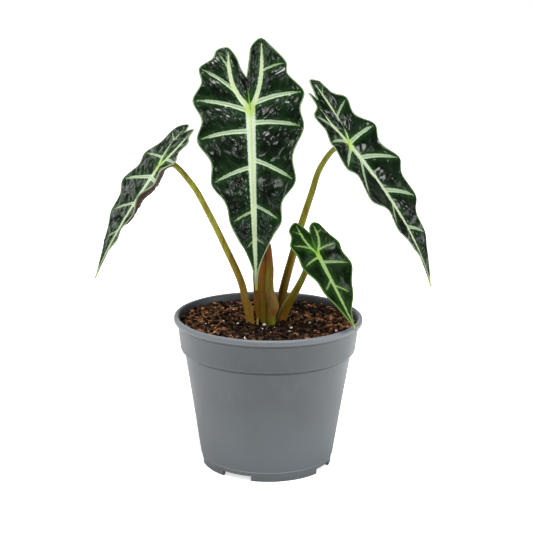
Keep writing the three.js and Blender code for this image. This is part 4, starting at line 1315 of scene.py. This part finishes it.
def strew(name, shape, count, sizes, seed, sink, stretch=1.0, spread=1.0, bias=0.0):
    """Many rough copies of a small shape on the ground, joined into one piece.

    sizes: from and to, in millimetres. sink: how deep a copy lies in the ground, as a
    share of its size. spread: how much of the ground it covers. bias: how far copies
    may be shifted to the front.
    """
    dice = random.Random(seed)
    corners = np.array([corner.co[:] for corner in shape.data.vertices])
    faces = [list(face.vertices) for face in shape.data.polygons]
    points, polygons, tones = [], [], []
    for _ in range(count):
        radius = SOIL_RADIUS * spread * math.sqrt(dice.random())
        turn = dice.uniform(0, 2 * math.pi)
        x, y = radius * math.cos(turn), radius * math.sin(turn) - bias * dice.random()
        if math.hypot(x, y) > SOIL_RADIUS - WALL_GAP:
            continue
        size = dice.uniform(*sizes) * dice.uniform(0.7, 1.15)
        scale = np.array([size * dice.uniform(0.8, 1.2) * stretch, size * dice.uniform(0.7, 1.1),
                          size * dice.uniform(0.55, 0.95)]) / 2
        rough = corners * np.array([[dice.uniform(0.75, 1.2)] for _ in corners]) * scale
        spin = Matrix.Rotation(dice.uniform(0, 6.3), 3, "Z")
        for axis in "XY":
            spin = spin @ Matrix.Rotation(dice.uniform(-0.5, 0.5), 3, axis)
        placed = rough @ np.array(spin).T
        placed += [x, y, ground_height(x, y) + size * (0.5 - sink)]
        polygons += [[corner + len(points) for corner in face] for face in faces]
        points += placed.tolist()
        tones += [dice.random()] * len(corners)
    mesh = bpy.data.meshes.new(name)
    mesh.from_pydata([[c * MM for c in point] for point in points], [], polygons)
    store(mesh, "tone", np.array(tones))
    return new_object(name, mesh)


deselect()
bpy.ops.mesh.primitive_ico_sphere_add(subdivisions=1, radius=1)
lump = bpy.context.object
deselect()
bpy.ops.mesh.primitive_cube_add(size=2)
chip = bpy.context.object
crumbs = strew("peat_crumbs", lump, count=6400, sizes=(0.8, 3.4), seed=3, sink=0.0)
bark = strew("bark_chips", chip, count=1100, sizes=(0.6, 1.7), seed=8, sink=-0.2, stretch=2.4)
grains = strew("perlite_grains", lump, count=190, sizes=(0.9, 2.3), seed=21, sink=-0.25,
               spread=0.98, bias=40)
for shape in (lump, chip):
    bpy.data.objects.remove(shape)

# %% [markdown]
# Every crumb has its own tone between the darkest and the lightest, and most are dark.
# The peat goes back to its darkest round a spot near the stalks and in patches.
# Perlite is a chalky white. None of them shines.

# %% Soil materials
# In metres: the middle of the dark spot, its edge and its core
DARK_SPOT_MIDDLE = (0.003, -0.024, 0.098)
DARK_SPOT_EDGE, DARK_SPOT_CORE = 0.042, 0.02
# The tone is raised to this power, so that few crumbs are light
DARK_SHARE = 3.2


def strewn_material(name, darkest, lightest, roughness, darkening_share=0.0):
    made, tree, shader = material(name)
    place = add(tree, "TexCoord", {}, "Object")
    specks = grain(place, 900)
    tone = calculate("POWER", value_of(tree, "tone"), DARK_SHARE)
    colour = blend(tone, darkest, lightest)
    colour = blend(fade(specks, 0.45, 0.7, 0.0, 0.5), colour, darkest)
    near = add(tree, "VectorMath", {"operation": "DISTANCE", 0: place, 1: DARK_SPOT_MIDDLE}, "Value")
    darkened = calculate("MAXIMUM", fade(near, DARK_SPOT_EDGE, DARK_SPOT_CORE, 0.0, darkening_share),
                     fade(grain(place, 60, 2.0), 0.5, 0.62, 0.0, darkening_share))
    pits = add(tree, "Bump", {"Strength": 0.5, "Distance": 0.4 * MM, "Height": specks})
    set_up(shader, {"Base Color": blend(darkened, colour, darkest), "Roughness": roughness,
                    "Specular IOR Level": 0.1, "Normal": pits})
    return made


peat = strewn_material("dark_spotted_peat", "#040201", "#b27c54", 0.9, 0.86)
bark_skin = strewn_material("bark_and_wood_fibre", "#34200f", "#c08c62", 0.8, 0.5)
perlite = strewn_material("white_perlite", "#d8d4ca", "#fbfaf6", 0.85)
for piece, skin in ((ground, peat), (crumbs, peat), (bark, bark_skin), (grains, perlite)):
    give(piece, skin)
    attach(piece, "root")
    count_faces(piece)


# %% [markdown]
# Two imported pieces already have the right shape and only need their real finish: the
# plug of soil that fills the pot, and the corm with its roots inside it.

# %% Soil plug and corm
packed_peat = strewn_material("packed_peat", "#150c06", "#2c1a0e", 0.95)
corm_bark = strewn_material("corm_bark", "#3c2616", "#6a4a2c", 0.85)
for node, skin in (("soil", packed_peat), ("corm_and_roots", corm_bark)):
    give(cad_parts[node], skin)
print("Soil plug and corm dressed")
